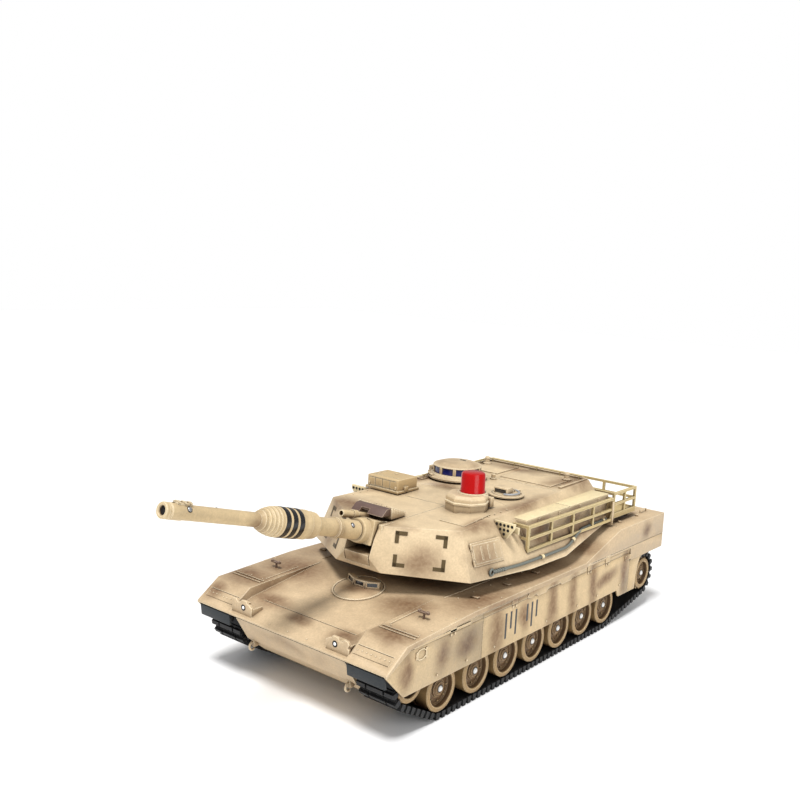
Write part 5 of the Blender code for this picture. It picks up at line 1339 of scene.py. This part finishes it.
def gun():
    """The barrel with its collar, ribbed cone, black bands and stepped sleeves."""
    at = from_muzzle
    outer = [(2.4, at(0.6)), (2.9, at(0)), (4.0, at(0)), (4.3, at(0.5)), (4.3, at(2.2)), (3.9, at(2.6)),
             (3.9, at(3.6)), (4.3, at(4.0)), (4.3, at(11.6)), (4.0, at(12.2)), (4.0, at(63.4)),
             (4.4, at(64.0))]
    for i, grow in enumerate((5.3, 6.4, 7.2, 7.8, 8.1)):
        start = 65 + i * 2.4
        outer += [(grow - 0.2, at(start)), (grow + 0.3, at(start + 0.4)), (grow + 0.45, at(start + 1.6)),
                  (grow + 0.25, at(start + 2.1))]
    outer += [(8.3, at(77.2)), (8.5, at(77.6)), (8.5, at(94)), (8.2, at(94.6)), (8.2, at(96.4)),
              (8.4, at(96.8)), (8.4, at(99.6)), (8.0, at(100.2)), (7.8, at(103.6)), (7.9, at(104)),
              (7.6, at(106.6)), (5.6, at(107.4)), (5.4, at(108)), (5.4, at(125.4)), (6.3, at(125.8)),
              (6.3, at(128)), (5.75, at(128.4)), (5.75, at(145)), (0, at(145)), (0, at(16)), (2.4, at(16))]
    barrel = gun_turned(outer)
    bracket = [block((-1.7, -at(7), 3.6), (1.7, -at(17), 4.8), 0.3)]
    for start in (8.2, 12, 15.8):
        bracket.append(pin(1.25, 4.4, 5.7, (0, -at(start), 0), 2, 16))
        bracket.append(block((-2.6, -at(start - 0.5), 4.5), (2.6, -at(start + 0.5), 5.3), 0.2))
    piece(fused([barrel, on_gun(fused(bracket))]), "barrel_tube", "gun", GUN_PAINT, replaces=["gun_barrel"])
    bands = []
    for start in (78.0, 83.4, 88.8):
        bands.append(gun_turned([(8.1, at(start)), (8.55, at(start)), (8.62, at(start + 0.3)),
                                 (8.62, at(start + 3.3)), (8.55, at(start + 3.6)), (8.1, at(start + 3.6))]))
    piece(fused(bands), "evacuator_black_bands", "gun", BAND_BLACK)
    # Near-black discs round the screws and at the small holes: painted shade in the recesses.
    screws, holes = [], []
    side_place = Matrix.Rotation(math.radians(-35), 4, "Y")
    for start, reach in ((14.4, 4.05), (137, 5.8)):
        hole = pin(1.7, (reach - 0.6), (reach + 0.02), (0, -at(start), 0), 0, 16)
        screw = pin(1.25, (reach - 0.4), (reach + 0.3), (0, -at(start), 0), 0, 14)
        for made, group in ((hole, holes), (screw, screws)):
            made.data.transform(side_place)
            group.append(on_gun(made))
    for start in (34, 6.0, 9.4):
        hole = pin(0.55, 0, 0.1, (0, -at(start), (4.0 if start > 20 else 4.38)), 2, 10)
        holes.append(on_gun(hole))
    piece(fused(holes), "gun_recess_shade", "gun", HOLE_SHADE)
    piece(fused(screws), "gun_screws", "gun", STEEL)


def mantlet():
    """The mantlet drum with its ring, side collar and the coaxial tube."""
    skin = node_copy("mantlet", 0.5, 28)
    piece(skin, "mantlet_casting", "gun", GUN_PAINT, replaces=["mantlet"])
    ring = gun_turned([(5.95, 13.4), (7.3, 13.4), (7.5, 14), (7.5, 17.2), (7.0, 18.4), (5.95, 18.4)])
    flange = gun_turned([(5.95, 9.6), (7.8, 9.6), (7.8, 11.4), (7.4, 12.2), (5.95, 12.2)], 24)
    piece(fused([ring, flange]), "mantlet_ring", "gun", GUN_PAINT)
    tube = turned([(1.5, -4), (2.3, -4), (2.3, -27.2), (2.05, -27.6), (1.5, -27.6)], (-6.3, 0, 8.2), 1, 32)
    collar = turned([(2.2, -14), (3.0, -14), (3.0, -18), (2.2, -18)], (-6.3, 0, 8.2), 1, 32)
    piece(on_gun(fused([tube, collar])), "coaxial_tube", "gun", GUN_PAINT, replaces=["coax_tube"])
    # Near-black plugs inside the coaxial tube and the muzzle: painted shade in the bores.
    bore = turned([(0, -5), (1.52, -5), (1.52, -24), (0, -24)], (-6.3, 0, 8.2), 1, 20)
    muzzle = turned([(0, -148.8), (2.39, -148.8), (2.39, -163.2), (0, -163.2)], ORIGIN, 1, 24)
    piece(on_gun(fused([bore, muzzle])), "gun_bore_shade", "gun", HOLE_SHADE)


def mouth_details():
    """The chin under the gun and the frame round the mantlet's slot."""
    chin = cut_sheet([(-90.0, 4.4), (-92.4, 12.2), (-66.4, 12.2), (-66.4, 4.4)], 0, -9.5, 9.5, 0.4,
                     at=TURRET_AXIS)
    frame_parts = [chin]
    for side in (-1, 1):
        low, high = sorted((side * 10.4, side * 13.4))
        frame_parts.append(block(turret(low, -84.6, 13), turret(high, -72, 30.2), 0.6))
        frame_parts.append(pin(0.9, side * 10, side * 14.2, turret(0, -79, 24), 0, 14))
    piece(fused(frame_parts), "mantlet_frame", "turret", TURRET_PAINT)


LENS = 42.86
EYE = (367.12, -358.51, 252.61)
HEADING, DIP, ROLL = 39.13, 8.22, 2.89
LIGHTS = (("key", (0.15, -0.45, 1.25), 3.0, 16), ("fill", (1.0, -0.35, 0.5), 1.1, 40))


def stage_and_camera():
    """A pale floor, soft studio light and the camera."""
    bpy.ops.mesh.primitive_plane_add(size=6, location=(0, 0, -0.0002))
    floor = bpy.context.object
    floor.name = "studio_floor"
    material, _, shader = bare_material("studio_white", roughness=0.6)
    shader.inputs["Base Color"].default_value = (0.93, 0.93, 0.93, 1)
    floor.data.materials.append(material)
    world = bpy.data.worlds.new("studio")
    world.use_nodes = True
    tree = world.node_tree
    seen = node(tree, "ShaderNodeLightPath")
    strength = node(tree, "ShaderNodeMapRange", {"Value": seen.outputs["Is Camera Ray"], "To Min": 0.42,
                                                 "To Max": 1.0})
    tree.nodes["Background"].inputs["Color"].default_value = (1, 1, 1, 1)
    tree.links.new(strength.outputs[0], tree.nodes["Background"].inputs["Strength"])
    bpy.context.scene.world = world
    for name, way, power, spread in LIGHTS:
        light = bpy.data.lights.new(name, "SUN")
        light.energy = power
        light.angle = math.radians(spread)
        obj = bpy.data.objects.new(name, light)
        obj.rotation_euler = Vector(way).to_track_quat("Z", "Y").to_euler()
        bpy.context.collection.objects.link(obj)
    camera = bpy.data.cameras.new("camera")
    camera.lens = LENS
    camera.sensor_width = 36
    camera.clip_start = 0.01
    eye = bpy.data.objects.new("camera", camera)
    turn = (Matrix.Rotation(math.radians(HEADING), 4, "Z") @ Matrix.Rotation(math.radians(90 - DIP), 4, "X")
            @ Matrix.Rotation(math.radians(ROLL), 4, "Z"))
    eye.matrix_world = Matrix.Translation(hull(*EYE)) @ turn
    bpy.context.collection.objects.link(eye)
    bpy.context.scene.camera = eye
    bpy.context.scene.view_settings.view_transform = "Standard"


stage_and_camera()
carried_over()
hull_deck()
fender_details()
headlamps()
driver_hatch()
skirts()
markings()
mud_flaps()
bow_and_tail()
engine_deck()
running_gear()
tracks()
turret_shell()
corner_marks()
roof_details()
sight()
cupola()
beacon()
loader_hatch()
stowage()
gun()
mantlet()
mouth_details()
